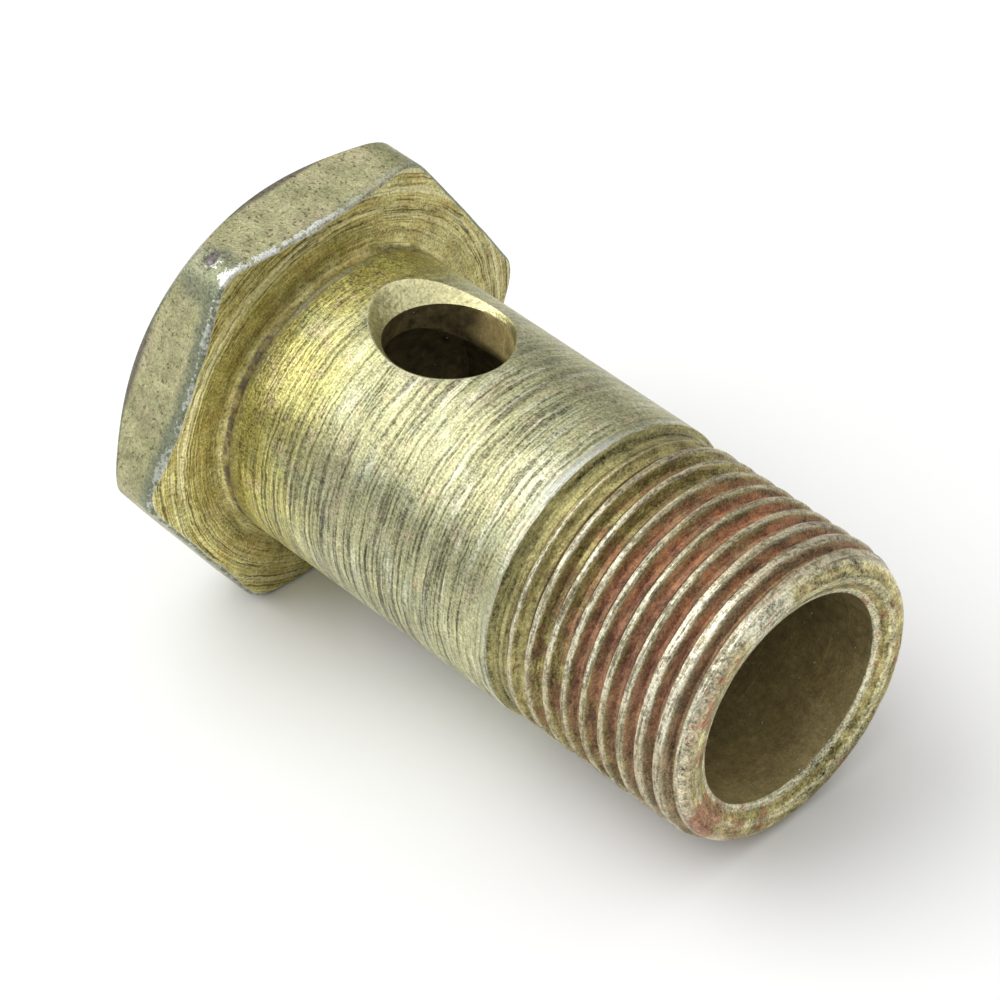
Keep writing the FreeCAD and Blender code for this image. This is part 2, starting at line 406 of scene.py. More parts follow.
@dataclass(frozen=True)
class HexHead:
    """The hexagon head: forged flats, a turned top chamfer and a turned underside. Angles are in degrees."""

    sizes: MainSizes
    across_flats: float = 27.0
    corner_radius: float = 2.5
    flat_angle: float = 30.0
    top_inset: float = 0.35
    top_slope: float = 40.0
    top_round: float = 0.2
    seat_inset: float = 0.9
    seat_slope: float = 15.0
    rim_round: float = 0.3
    rim_band: float = 0.42
    seat_band: float = 0.12
    ridge_pitch: float = 0.47
    ridge_depth: float = 0.035
    nick_place: tuple[float, float, float] = at_angle(-2.7, 15.1, 118.5)
    nick_depth: float = 0.28
    neck_round: float = 0.66
    neck_undercut: float = 0.06
    neck_step: float = 0.12

    def outline(self, angles: np.ndarray) -> np.ndarray:
        """Gives the hexagon's distance from the axis, with its corners rounded.

        Args:
            angles: Directions from the axis, in radians.

        Returns:
            The distance in each direction.
        """
        flat = self.across_flats / 2
        sixth = math.radians(60)
        local = np.abs((angles - math.radians(self.flat_angle) + sixth / 2) % sixth - sixth / 2)
        straight = (flat - self.corner_radius) * math.tan(sixth / 2)
        start = math.atan2(straight, flat)
        centre = (flat - self.corner_radius) / math.cos(sixth / 2)
        off = np.clip(sixth / 2 - local, 0, sixth)
        reach = self.corner_radius ** 2 - (centre * np.sin(off)) ** 2
        corner = centre * np.cos(off) + np.sqrt(np.maximum(reach, 0))
        return np.where(local <= start, flat / np.cos(local), corner)

    def seat_circle(self) -> float:
        """Gives the radius of the flat sealing face."""
        return self.across_flats / 2 - self.seat_inset

    def cone_place(self, radius: Span) -> Span:
        """Gives where the shallow cone outside the sealing face lies at a radius."""
        return -(radius - self.seat_circle()) * math.tan(math.radians(self.seat_slope))

    def neck_outer(self) -> float:
        """Gives the radius at which the neck fillet leaves the sealing face."""
        return self.sizes.shank_radius - self.neck_undercut + self.neck_round

    def shank_start(self) -> float:
        """Gives where the shank starts, past the neck fillet and its step."""
        return self.neck_round + self.neck_step

    def ridges(self, radius: np.ndarray, points: np.ndarray) -> np.ndarray:
        """Gives the height of the lathe's ridges on the underside, strongest towards the rim.

        Args:
            radius: Distances from the axis.
            points: The places, for the ridges' slow wander.

        Returns:
            The height at each place, above and below 0.
        """
        shift = 0.08 * wander(points, 0.12, 3.0)
        wave = np.sin(2 * math.pi * (radius + shift) / self.ridge_pitch)
        uneven = 0.6 + 0.6 * np.sin(2 * math.pi * radius / (2.7 * self.ridge_pitch))
        strength = 0.2 + 0.8 * smooth_step(radius, 11.0, 12.4)
        return self.ridge_depth * wave * uneven * strength

    def build(self, skin: Skin) -> None:
        """Adds the head's surface, from the middle of its top to the start of the shank.

        Args:
            skin: Where the surface is gathered.
        """
        angles = self.sizes.ring_angles()
        far = self.outline(angles)
        rows = self.top_rows(far)
        rows += self.side_rows(far, angles, rows[-1].place)
        places = turned(rows, angles)
        self.wear_flats(places, far)
        skin.add_grid(places, Zone.HEAD, edges_of(rows, angles))
        self.add_underside(skin, rows[-1], angles)
        self.add_neck(skin, angles)

    def top_rows(self, far: np.ndarray) -> list[Row]:
        """Gives the top face and its chamfer, as far as the start of the flats.

        Args:
            far: The hexagon's distance from the axis at each column.

        Returns:
            The rows in order.
        """
        top = self.sizes.head_top
        circle = self.across_flats / 2 - self.top_inset
        slope = math.radians(self.top_slope)
        corner = top + (far - circle) * math.tan(slope)
        reach = self.top_round * math.tan(math.radians((90 - self.top_slope) / 2))
        rows = [Row(top, radius) for radius in (0.0, 3.0, 6.0, 9.0, 11.5, 12.8)]
        rows += [Row(top, circle - 0.1), Row(top + 0.015, circle)]
        start_x, start_r = top + 0.06, circle + 0.07
        finish_x = corner - reach * math.sin(slope)
        finish_r = far - reach * math.cos(slope)
        for share in (0.0, 0.35, 0.7):
            place = start_x + (finish_x - start_x) * share
            rows.append(Row(place, start_r + (finish_r - start_r) * share, 2.0))
        rows += arc((corner + reach, far - self.top_round), self.top_round, (self.top_slope - 90, 0), 5, 1.4)
        return rows

    def side_rows(self, far: np.ndarray, angles: np.ndarray, start: np.ndarray) -> list[Row]:
        """Gives the flats and the worn, uneven rim between them and the underside.

        Args:
            far: The hexagon's distance from the axis at each column.
            angles: Angle of each column.
            start: Where the flats start along the bolt, at each column.

        Returns:
            The rows in order.
        """
        rim = turned([Row(0.0, far)], angles)[0]
        rounding = self.rim_round * (1 + 0.45 * wander(rim, 0.55, 11.0) + 0.25 * wander(rim, 1.9, 5.0))
        bend = 90 - self.seat_slope
        finish = self.cone_place(far) - rounding * math.tan(math.radians(bend / 2))
        rows = []
        for share in (0.06, 0.14, 0.25, 0.37, 0.49, 0.6, 0.7, 0.79, 0.86, 0.92, 0.965):
            place = start + (finish - start) * share
            rows.append(Row(place, far, (finish - place) / self.rim_band))
        return rows + arc((finish, far - rounding), rounding, (0, bend), 7, 0.0)

    def add_underside(self, skin: Skin, rim: Row, angles: np.ndarray) -> None:
        """Adds the shallow cone and the sealing face, with the ridges that the lathe left.

        Args:
            skin: Where the surface is gathered.
            rim: The last row of the rim.
            angles: Angle of each column.
        """
        circle = self.seat_circle()
        neck = self.neck_outer()
        rows = [rim]
        for share in np.linspace(0, 1, 15)[1:]:
            radius = rim.radius + (circle - rim.radius) * share
            rows.append(Row(self.cone_place(radius), radius, (rim.radius - radius) / self.seat_band))
        rows += [Row(0.0, radius) for radius in np.linspace(circle, neck, 14)[1:]]
        places = turned(rows, angles)
        radii = spread((row.radius for row in rows), angles)
        fade = smooth_step(radii[0] - radii, 0.0, 0.4) * smooth_step(radii, neck, neck + 0.3)
        places[..., 0] += (self.ridges(radii, places) - self.ridge_depth) * fade
        skin.add_grid(places, Zone.UNDERSIDE, edges_of(rows, angles))

    def add_neck(self, skin: Skin, angles: np.ndarray) -> None:
        """Adds the neck fillet, which ends in a faint step up to the shank.

        Args:
            skin: Where the surface is gathered.
            angles: Angle of each column.
        """
        radius = self.sizes.shank_radius
        fillet = arc((self.neck_round, self.neck_outer()), self.neck_round, (270, 180), 8)
        skin.add_rows(fillet, angles, Zone.UNDERSIDE)
        step = [fillet[-1]._replace(edge=0.3), Row(self.neck_round + 0.05, radius - 0.015, 0.0),
                Row(self.shank_start(), radius, 0.15)]
        skin.add_rows(step, angles, Zone.SHANK)

    def wear_flats(self, level: np.ndarray, far: np.ndarray) -> None:
        """Gives the flats the faint unevenness of worn forged steel, always inward.

        Args:
            level: Places of the top and the sides, changed in place.
            far: The hexagon's distance from the axis at each column.
        """
        radius = np.hypot(level[..., 1], level[..., 2])
        on_side = (radius > far - 0.02).astype(float)
        dip = 0.02 + 0.02 * wander(level, 0.35, 21.0)
        scale = 1 - on_side * (dip + self.nick(level)) / np.maximum(radius, 1.0)
        level[..., 1] *= scale
        level[..., 2] *= scale

    def nick(self, level: np.ndarray) -> np.ndarray:
        """Gives the depth of the nick at the corner that faces the camera, and of the burr round it."""
        away = np.linalg.norm(level - np.array(self.nick_place), axis=-1)
        return self.nick_depth * np.exp(-(away / 0.42) ** 2) - 0.07 * np.exp(-((away - 0.75) / 0.25) ** 2)


@dataclass(frozen=True)
class Patch:
    """The stretch of a round wall that one mouth of the cross hole is cut in.

    The half angle counts ring vertices from its middle to its side, the rings lie between the hole's rim
    and its border, and the rows are the places of its rows along the bolt.
    """

    wall: float
    zone: Zone
    half_angle: int
    rings: int
    rows: np.ndarray

    def border(self, middle: float) -> tuple[np.ndarray, np.ndarray]:
        """Walks round the border.

        Args:
            middle: Place of the hole's axis along the bolt.

        Returns:
            Distance along the bolt from the hole's axis, and angle round it, of each border vertex, from the
            middle of the threaded-end side.
        """
        rows = self.rows - middle
        side = np.arange(-self.half_angle, self.half_angle + 1) * (2 * math.pi / AROUND)
        up = [(rows[-1], angle) for angle in side[self.half_angle:-1]]
        back = [(row, side[-1]) for row in rows[::-1][:-1]]
        down = [(rows[0], angle) for angle in side[::-1][:-1]]
        forth = [(row, side[0]) for row in rows[:-1]]
        up_again = [(rows[-1], angle) for angle in side[:self.half_angle]]
        walk = np.array(up + back + down + forth + up_again)
        return walk[:, 0], walk[:, 1]

    def add_beside(self, skin: Skin, angles: np.ndarray) -> None:
        """Adds what lies between this patch and the one at the hole's other mouth.

        Args:
            skin: Where the surface is gathered.
            angles: Angle of each vertex of a whole ring.
        """
        half_ring = AROUND // 2
        for start in (self.half_angle, half_ring + self.half_angle):
            columns = np.arange(start, start + half_ring - 2 * self.half_angle + 1) % AROUND
            skin.add_rows([Row(x, self.wall) for x in self.rows], angles[columns], self.zone, closed=False)


@dataclass(frozen=True)
class CrossHole:
    """The cross hole: a drilled hole through both walls, with a countersink at each mouth."""

    sizes: MainSizes
    bevel: float = 1.35
    bevel_wide: float = 1.25
    shallow_side: float = -46.0
    shallow_share: float = 0.95
    rim_round: float = 0.07
    rim_band: float = 0.16
    outer_half_angle: int = 28
    outer_rows: int = 20
    outer_rings: int = 9
    outer_half_length: float = 6.6
    inner_half_angle: int = 32
    inner_rows: int = 12
    inner_rings: int = 6
    inner_length: float = 9.6

    def outer(self) -> Patch:
        """Gives the patch on the shank, with the hole's axis in its middle.

        Returns:
            The patch.
        """
        start = self.sizes.port_place - self.outer_half_length
        finish = self.sizes.port_place + self.outer_half_length
        rows = np.linspace(start, finish, self.outer_rows + 1)
        return Patch(self.sizes.shank_radius, Zone.SHANK, self.outer_half_angle, self.outer_rings, rows)

    def inner(self) -> Patch:
        """Gives the patch on the bore's wall, which starts at the bore's floor."""
        start = self.sizes.bore_floor
        rows = np.linspace(start, start + self.inner_length, self.inner_rows + 1)
        return Patch(self.sizes.bore_radius, Zone.BORE, self.inner_half_angle, self.inner_rings, rows)

    def spokes(self) -> np.ndarray:
        """Gives the directions round the hole's own axis, as many as vertices round each patch."""
        count = 2 * (2 * self.outer_half_angle + self.outer_rows)
        return 2 * math.pi * np.arange(count) / count

    def saddle(self, wall: float, radius: Span) -> np.ndarray:
        """Gives the height above the bolt's axis of a round wall, at a distance from the hole's axis."""
        return np.sqrt(wall ** 2 - (radius * np.sin(self.spokes())) ** 2)

    def cone_radius(self, height: np.ndarray) -> np.ndarray:
        """Gives how far the countersink's wall is from the hole's axis; it is shallow on one side.

        Args:
            height: Height above the bolt's axis in each direction round the hole.

        Returns:
            The distance, never less than the drill's radius.
        """
        rise = np.maximum(height - (self.sizes.shank_radius - self.bevel), 0.0)
        toward = np.maximum(np.cos(self.spokes() - math.radians(self.shallow_side)), 0.0)
        share = self.bevel_wide / self.bevel * (1 - self.shallow_share * toward ** 3)
        return self.sizes.port_radius + rise * share

    def rim(self, wall: float) -> np.ndarray:
        """Finds the curve in which the countersink or the drill meets a round wall.

        Args:
            wall: Radius of the round wall.

        Returns:
            The curve's distance from the hole's axis in each direction.
        """
        radius = np.full(len(self.spokes()), self.sizes.port_radius)
        for _ in range(60):
            radius = 0.5 * radius + 0.5 * self.cone_radius(self.saddle(wall, radius))
        return radius

    def place(self, side: int, along: np.ndarray, across: np.ndarray, height: np.ndarray) -> np.ndarray:
        """Turns places beside the hole's axis into places on the bolt.

        Args:
            side: 1 for the near mouth and -1 for the far one.
            along: Distance from the hole's axis along the bolt.
            across: Distance from the hole's axis round the bolt.
            height: Distance from the bolt's axis along the hole.

        Returns:
            The places, in millimetres.
        """
        angle = self.sizes.port_angle + (0 if side > 0 else math.pi)
        y = height * math.cos(angle) - across * math.sin(angle)
        z = height * math.sin(angle) + across * math.cos(angle)
        return np.stack([along + self.sizes.port_place, y, z], axis=-1)

    def add_patch(self, skin: Skin, side: int, patch: Patch) -> None:
        """Adds the stretch of a round wall between the hole's rim and the border of its patch.

        Args:
            skin: Where the surface is gathered.
            side: 1 for the near mouth and -1 for the far one.
            patch: The patch.
        """
        wall = patch.wall
        spokes = self.spokes()
        radius = self.rim(wall) + self.rim_round
        rim_along = radius * np.cos(spokes)
        rim_angle = np.arcsin(radius * np.sin(spokes) / wall)
        far_along, far_angle = patch.border(self.sizes.port_place)
        shares = np.linspace(0, 1, patch.rings)[:, None] ** 1.5
        along = rim_along + (far_along - rim_along) * shares
        angle = rim_angle + (far_angle - rim_angle) * shares
        places = self.place(side, along, side * wall * np.sin(angle), wall * np.cos(angle))
        gap = np.hypot(along - rim_along, (angle - rim_angle) * wall)
        skin.add_grid(places, patch.zone, gap / self.rim_band)

    def add_wall(self, skin: Skin, side: int, rows: Sequence[Row], zone: Zone) -> None:
        """Adds rows round the hole's own axis.

        Args:
            skin: Where the surface is gathered.
            side: 1 for the near mouth and -1 for the far one.
            rows: The rows, from the shank inward.
            zone: The stretch that they belong to.
        """
        spokes = self.spokes()
        radius = spread((row.radius for row in rows), spokes)
        height = spread((row.place for row in rows), spokes)
        places = self.place(side, radius * np.cos(spokes), side * radius * np.sin(spokes), height)
        skin.add_grid(places, zone, edges_of(rows, spokes))

    def build(self, skin: Skin) -> None:
        """Adds both mouths of the hole, with their patches on the shank and in the bore.

        Args:
            skin: Where the surface is gathered.
        """
        sizes = self.sizes
        rim = self.rim(sizes.shank_radius)
        rim_height = self.saddle(sizes.shank_radius, rim)
        low_rim = rim_height - self.rim_round
        throat = np.minimum(sizes.shank_radius - self.bevel, low_rim - 0.02)
        inner_rim = self.rim(sizes.bore_radius) + self.rim_round
        inner_low = self.saddle(sizes.bore_radius, sizes.port_radius) + self.rim_round
        shoulder = rim + self.rim_round
        countersink = [Row(self.saddle(sizes.shank_radius, shoulder), shoulder, 0.0),
                       Row(rim_height - 0.3 * self.rim_round, rim + 0.02, 0.0)]
        for share in (0.0, 0.25, 0.5, 0.75, 1.0):
            height = low_rim + (throat - low_rim) * share
            countersink.append(Row(height, self.cone_radius(height), 0.6 + 3 * share))
        drilled = countersink[-1:]
        for share in (0.15, 0.3, 0.45, 0.6, 0.8, 1.0):
            drilled.append(Row(throat + (inner_low - throat) * share, sizes.port_radius))
        drilled.append(Row(self.saddle(sizes.bore_radius, inner_rim), inner_rim))
        for side in (1, -1):
            self.add_patch(skin, side, self.outer())
            self.add_patch(skin, side, self.inner())
            self.add_wall(skin, side, countersink, Zone.BEVEL)
            self.add_wall(skin, side, drilled, Zone.BORE)


@dataclass(frozen=True)
class Shank:
    """The plain turned shank, with the run-out neck before the thread."""

    sizes: MainSizes
    head: HexHead
    hole: CrossHole
    head_band: float = 0.55
    end_band: float = 0.9
    neck_radius: float = 9.45
    neck_end: float = 24.2

    def build(self, skin: Skin) -> None:
        """Adds the shank, from the neck fillet to the start of the thread.

        Args:
            skin: Where the surface is gathered.
        """
        angles = self.sizes.ring_angles()
        radius = self.sizes.shank_radius
        start = self.head.shank_start()
        end = self.sizes.shank_end
        patch = self.hole.outer()
        before = [Row(x, radius, (x - start) / self.head_band + 0.15)
                  for x in np.linspace(start, patch.rows[0], 5)]
        skin.add_rows(before, angles, Zone.SHANK)
        patch.add_beside(skin, angles)
        places = [*np.linspace(patch.rows[-1], end - 1.0, 13), *np.linspace(end - 0.85, end - 0.08, 6)]
        skin.add_rows([Row(x, radius, (end - x) / self.end_band) for x in places], angles, Zone.SHANK)
        self.add_run_out(skin, places[-1])

    def add_run_out(self, skin: Skin, start: float) -> None:
        """Adds the shank's jagged edge and the neck that the threading tool ran out in.

        Args:
            skin: Where the surface is gathered.
            start: Where the plain shank ends.
        """
        angles = self.sizes.ring_angles()
        end = self.sizes.shank_end
        rim = self.sizes.shank_radius
        neck = self.neck_radius
        rows = [Row(start, rim, 0.08), Row(end, rim - 0.03, 0.0), Row(end + 0.08, rim - 0.14, 1.2),
                Row(end + 0.18, rim - 0.24), Row(end + 0.28, neck + 0.12), Row(end + 0.36, neck + 0.16),
                Row(end + 0.46, neck + 0.05), Row(end + 0.56, neck + 0.02), Row(end + 0.64, neck + 0.07),
                Row(end + 0.74, neck + 0.01), Row(self.neck_end, neck)]
        places = turned(rows, angles)
        ragged = 0.06 * wander(places, 1.6, 31.0) + 0.05 * wander(places, 4.0, 8.0)
        raggedness = np.array([0.0, 1.0, 1.0, 0.9, 0.8, 0.7, 0.6, 0.5, 0.3, 0.1, 0.0])
        places[..., 0] += ragged * raggedness[:, None]
        edges = edges_of(rows, angles)
        skin.add_grid(places[:2], Zone.SHANK, edges[:2])
        skin.add_grid(places[1:], Zone.THREAD, edges[1:])


class Value:
    """A number, vector or colour that a node tree works out, so that formulas read as plain arithmetic."""

    def __init__(self, pen: "Pen", socket: bpy.types.NodeSocket) -> None:
        """Keeps the socket, and the pen that draws in its tree."""
        self.pen = pen
        self.socket = socket

    def __add__(self, other: Number) -> "Value":
        """Adds a number."""
        return self.pen.math("ADD", self, other)

    def __radd__(self, other: float) -> "Value":
        """Adds this to a plain number."""
        return self.pen.math("ADD", other, self)

    def __sub__(self, other: Number) -> "Value":
        """Takes a number from this."""
        return self.pen.math("SUBTRACT", self, other)

    def __rsub__(self, other: float) -> "Value":
        """Takes this from a plain number."""
        return self.pen.math("SUBTRACT", other, self)

    def __mul__(self, other: Number) -> "Value":
        """Multiplies by a number."""
        return self.pen.math("MULTIPLY", self, other)

    def __truediv__(self, other: Number) -> "Value":
        """Divides by a number."""
        return self.pen.math("DIVIDE", self, other)

    def most(self, other: Number) -> "Value":
        """Gives the larger of this and a number."""
        return self.pen.math("MAXIMUM", self, other)

    def least(self, other: Number) -> "Value":
        """Gives the smaller of this and a number."""
        return self.pen.math("MINIMUM", self, other)

    def fade(self, low: Number, high: Number, start: Number = 0.0, finish: Number = 1.0) -> "Value":
        """Goes smoothly from start to finish while this goes from low to high."""
        inputs = dict(enumerate((self, low, high, start, finish)))
        return self.pen.draw("ShaderNodeMapRange", inputs, interpolation_type="SMOOTHSTEP")


class Pen:
    """Adds nodes to a tree and links them."""

    def __init__(self, tree: bpy.types.NodeTree) -> None:
        """Keeps the tree that is drawn in."""
        self.tree = tree

    def node(self, kind: str, **settings: object) -> bpy.types.Node:
        """Adds a node.

        Args:
            kind: Blender's name of its type.
            settings: Values of its properties by name.

        Returns:
            The node.
        """
        made = self.tree.nodes.new(kind)
        for name, value in settings.items():
            setattr(made, name, value)
        return made

    def feed(self, socket: bpy.types.NodeSocket, value: object) -> None:
        """Links a socket to a value of the tree, or sets a plain value on it.

        Args:
            socket: The input.
            value: The value.
        """
        if isinstance(value, Value):
            self.tree.links.new(value.socket, socket)
        else:
            socket.default_value = value

    def draw(self, kind: str, inputs: dict[int | str, object], output: int | str = 0,
             **settings: object) -> Value:
        """Adds a node and feeds it.

        Args:
            kind: Blender's name of its type.
            inputs: What its inputs are fed, by index or name.
            output: Index or name of the output that is wanted.
            settings: Values of its properties by name.

        Returns:
            The output.
        """
        made = self.node(kind, **settings)
        for key, value in inputs.items():
            self.feed(made.inputs[key], value)
        return Value(self, made.outputs[output])

    def math(self, operation: str, *values: Number) -> Value:
        """Adds one step of arithmetic."""
        return self.draw("ShaderNodeMath", dict(enumerate(values)), operation=operation)

    def mix(self, factor: Number, first: Number, second: Number) -> Value:
        """Mixes two numbers."""
        return self.draw("ShaderNodeMix", {0: factor, 2: first, 3: second}, data_type="FLOAT")

    def blend(self, factor: Number, first: Tint, second: Tint) -> Value:
        """Mixes two colours."""
        return self.draw("ShaderNodeMix", {0: factor, 6: first, 7: second}, 2, data_type="RGBA")

    def curve(self, value: Value, heights: Sequence[float]) -> Value:
        """Reads a curve of straight stretches.

        Args:
            value: Place on the curve, from 0 to 1.
            heights: The curve's heights at even steps.

        Returns:
            The curve's height there.
        """
        made = self.node("ShaderNodeFloatCurve")
        line = made.mapping.curves[0]
        while len(line.points) < len(heights):
            line.points.new(0.5, 0.5)
        for index, height in enumerate(heights):
            line.points[index].location = (index / (len(heights) - 1), height)
            line.points[index].handle_type = "VECTOR"
        made.mapping.update()
        self.feed(made.inputs["Value"], value)
        return Value(self, made.outputs[0])

    def vector(self, x: Number, y: Number, z: Number) -> Value:
        """Joins three numbers into a vector."""
        return self.draw("ShaderNodeCombineXYZ", {0: x, 1: y, 2: z})

    def split(self, vector: Value) -> tuple[Value, ...]:
        """Gives the three numbers of a vector."""
        made = self.node("ShaderNodeSeparateXYZ")
        self.feed(made.inputs[0], vector)
        return tuple(Value(self, output) for output in made.outputs)

    def noise(self, vector: Value, seed: Number, scale: float, detail: float = 2.0,
              rough: float = 0.5) -> Value:
        """Reads seeded noise, from 0 to 1 about a half.

        Args:
            vector: The place.
            seed: Picks another stretch of the noise.
            scale: Waves per unit.
            detail: Octaves.
            rough: Strength of each octave as a share of the one before.

        Returns:
            The noise.
        """
        inputs = {"Vector": vector, "W": seed, "Scale": scale, "Detail": detail, "Roughness": rough}
        return self.draw("ShaderNodeTexNoise", inputs, noise_dimensions="4D")


class ThreadInput(Enum):
    """Named inputs of the thread's node tree, in millimetres and radians."""

    FIRST_ANGLE = "First Angle"
    FIRST_CREST = "First Crest"
    PITCH = "Pitch"
    START = "Start"
    END = "End"
    CREST_RADIUS = "Crest Radius"
    ROOT_RADIUS = "Root Radius"
    NECK_RADIUS = "Neck Radius"
    TAPER_START = "Taper Start"
    TAPER_SLOPE = "Taper Slope"
    CREST_WEAR = "Crest Wear"
    SEED = "Seed"


@dataclass(frozen=True)
class Thread:
    """The worn right-hand fine thread, made by a node tree whose rows follow the helix.

    The crest curves turn even steps from crest to root into shares of half a pitch, and the depths are
    those of the same steps. The crests rise and the roots sink in the first millimetres past the neck, the
    groove closes in the last before the end, and the crests widen between two places along the bolt.
    """

    sizes: MainSizes
    neck_end: float
    neck_radius: float
    pitch: float = 1.5
    root_radius: float = 9.08
    crest_place: float = 26.27
    crest_angle: float = 125.25
    taper_slope: float = 24.0
    end: float = 38.3
    crest_wear: float = 0.07
    seed: float = 4.0
    rows: int = 14
    crest_rise: float = 0.9
    root_sink: tuple[float, float] = (0.3, 2.4)
    groove_close: tuple[float, float] = (0.5, 0.04)
    widens: tuple[float, float] = (33.0, 36.5)
    narrow_crest: tuple[float, ...] = (0.0, 0.1, 0.19, 0.27, 0.35, 0.45, 0.56, 0.72, 1.0)
    wide_crest: tuple[float, ...] = (0.0, 0.16, 0.33, 0.45, 0.52, 0.63, 0.75, 0.86, 1.0)
    depths: tuple[float, ...] = (0.05, 0.0, 0.03, 0.14, 0.3, 0.56, 0.82, 0.99, 1.0)

    def first_crest(self) -> float:
        """Finds where the crest lies at the first column.

        Returns:
            The place along the bolt, within the last pitch that is all before the thread's start.
        """
        turn = (self.sizes.port_angle - math.radians(self.crest_angle)) / (2 * math.pi)
        place = self.crest_place + self.pitch * turn
        while place + self.pitch > self.neck_end:
            place -= self.pitch
        return place

    def turns(self) -> int:
        """Gives the whole turns that cover the thread from its first crest to its end."""
        return math.ceil((self.end - self.first_crest()) / self.pitch)

    def slope(self) -> float:
        """Gives how much the taper loses in radius along each millimetre."""
        return math.tan(math.radians(self.taper_slope))

    def end_radius(self) -> float:
        """Gives the taper's radius where the thread ends."""
        return self.sizes.thread_radius - (self.end - self.sizes.taper_start) * self.slope()

    def values(self) -> dict[ThreadInput, float]:
        """Gives the value of each named input.

        Returns:
            The values by input.
        """
        return {
            ThreadInput.FIRST_ANGLE: self.sizes.port_angle,
            ThreadInput.FIRST_CREST: self.first_crest(),
            ThreadInput.PITCH: self.pitch,
            ThreadInput.START: self.neck_end,
            ThreadInput.END: self.end,
            ThreadInput.CREST_RADIUS: self.sizes.thread_radius,
            ThreadInput.ROOT_RADIUS: self.root_radius,
            ThreadInput.NECK_RADIUS: self.neck_radius,
            ThreadInput.TAPER_START: self.sizes.taper_start,
            ThreadInput.TAPER_SLOPE: self.slope(),
            ThreadInput.CREST_WEAR: self.crest_wear,
            ThreadInput.SEED: self.seed,
        }

    def tree(self, material: bpy.types.Material) -> bpy.types.NodeTree:
        """Builds the node tree that lays a grid along the helix and gives it the thread's section.

        Args:
            material: Material of the threaded stretch.

        Returns:
            The tree.
        """
        tree = bpy.data.node_groups.new("FineThread", "GeometryNodeTree")
        for direction in ("OUTPUT", "INPUT"):
            tree.interface.new_socket("Geometry", in_out=direction, socket_type="NodeSocketGeometry")
        for item in ThreadInput:
            tree.interface.new_socket(item.value, in_out="INPUT", socket_type="NodeSocketFloat")
        pen = Pen(tree)
        outputs = pen.node("NodeGroupInput").outputs
        given = {item: Value(pen, outputs[item.value]) for item in ThreadInput}
        pitch = given[ThreadInput.PITCH]
        first = given[ThreadInput.FIRST_CREST]
        start = given[ThreadInput.START]
        end = given[ThreadInput.END]
        neck = given[ThreadInput.NECK_RADIUS]
        crest_radius = given[ThreadInput.CREST_RADIUS]
        seed = given[ThreadInput.SEED]

        # A flat grid: its columns go round the bolt, turn after turn, and its rows lie within one pitch
        columns = AROUND * self.turns()
        grid = pen.draw("GeometryNodeMeshGrid", {"Size X": 1.0, "Size Y": 1.0, "Vertices X": columns + 1,
                                                 "Vertices Y": self.rows + 1})
        across, up, _ = pen.split(pen.draw("GeometryNodeInputPosition", {}))
        turn = pen.math("ROUND", (across + 0.5) * columns) / float(AROUND)
        share = up + 0.5
        angle = given[ThreadInput.FIRST_ANGLE] + pen.math("FRACT", turn) * (2 * math.pi)

        # From 0 on a crest to 1 at the root, and so to the place within one pitch
        fold = 1.0 - pen.math("ABSOLUTE", share * 2.0 - 1.0)
        wide = (first + pitch * (turn + share)).fade(*self.widens)
        half = pen.mix(wide, pen.curve(fold, self.narrow_crest), pen.curve(fold, self.wide_crest)) * 0.5
        side = pen.math("SIGN", share - 0.5)
        phase = 0.5 + side * (0.5 - half)
        x = (first + pitch * (turn + phase)).most(start).least(end)

        # Crests rise from the run-out neck and roots sink from it; near the end the groove closes
        past = x - start
        crest = pen.mix(past.fade(0.0, self.crest_rise), neck, crest_radius)
        taper = crest_radius - (x - given[ThreadInput.TAPER_START]).most(0.0) * given[ThreadInput.TAPER_SLOPE]
        closing = (end - x).fade(*self.groove_close)
        sunk_root = pen.mix(past.fade(*self.root_sink), neck, given[ThreadInput.ROOT_RADIUS])
        root = pen.mix(closing, sunk_root, taper)
        depth = pen.curve(fold, self.depths)
        plain = pen.mix(depth, crest, root).least(taper)

        # Wear: crests are uneven and here and there bruised
        place = pen.vector(x, plain * pen.math("COSINE", angle), plain * pen.math("SINE", angle))
        uneven = pen.noise(place, seed, 0.9, 3.0, 0.6)
        bruise = pen.noise(place, seed + 7.0, 0.35, 1.0).fade(0.6, 0.75)
        window = past.fade(0.0, 0.5) * (end - x).fade(0.0, 0.4)
        loss = given[ThreadInput.CREST_WEAR] * (uneven + bruise) * window * (1.0 - depth * 0.8)
        radius = plain - loss
        moved = pen.vector(x, radius * pen.math("COSINE", angle), radius * pen.math("SINE", angle))

        # The marks, which are sunk nowhere on the neck, and the finished grid
        sunk = depth * pen.mix(closing, past.fade(0.1, 0.6), 0.0)
        mesh = grid
        for name, value in (("groove", sunk), ("flank", sunk * side)):
            inputs = {"Geometry": mesh, "Name": name, "Value": value}
            mesh = pen.draw("GeometryNodeStoreNamedAttribute", inputs, data_type="FLOAT", domain="POINT")
        mesh = pen.draw("GeometryNodeSetPosition", {"Geometry": mesh, "Position": moved})
        mesh = pen.draw("GeometryNodeMergeByDistance", {"Geometry": mesh, "Distance": MERGE})
        mesh = pen.draw("GeometryNodeRealizeInstances", {"Geometry": mesh})
        mesh = pen.draw("GeometryNodeSetMaterial", {"Geometry": mesh, "Material": material})
        pen.feed(pen.node("NodeGroupOutput").inputs[0], mesh)
        return tree

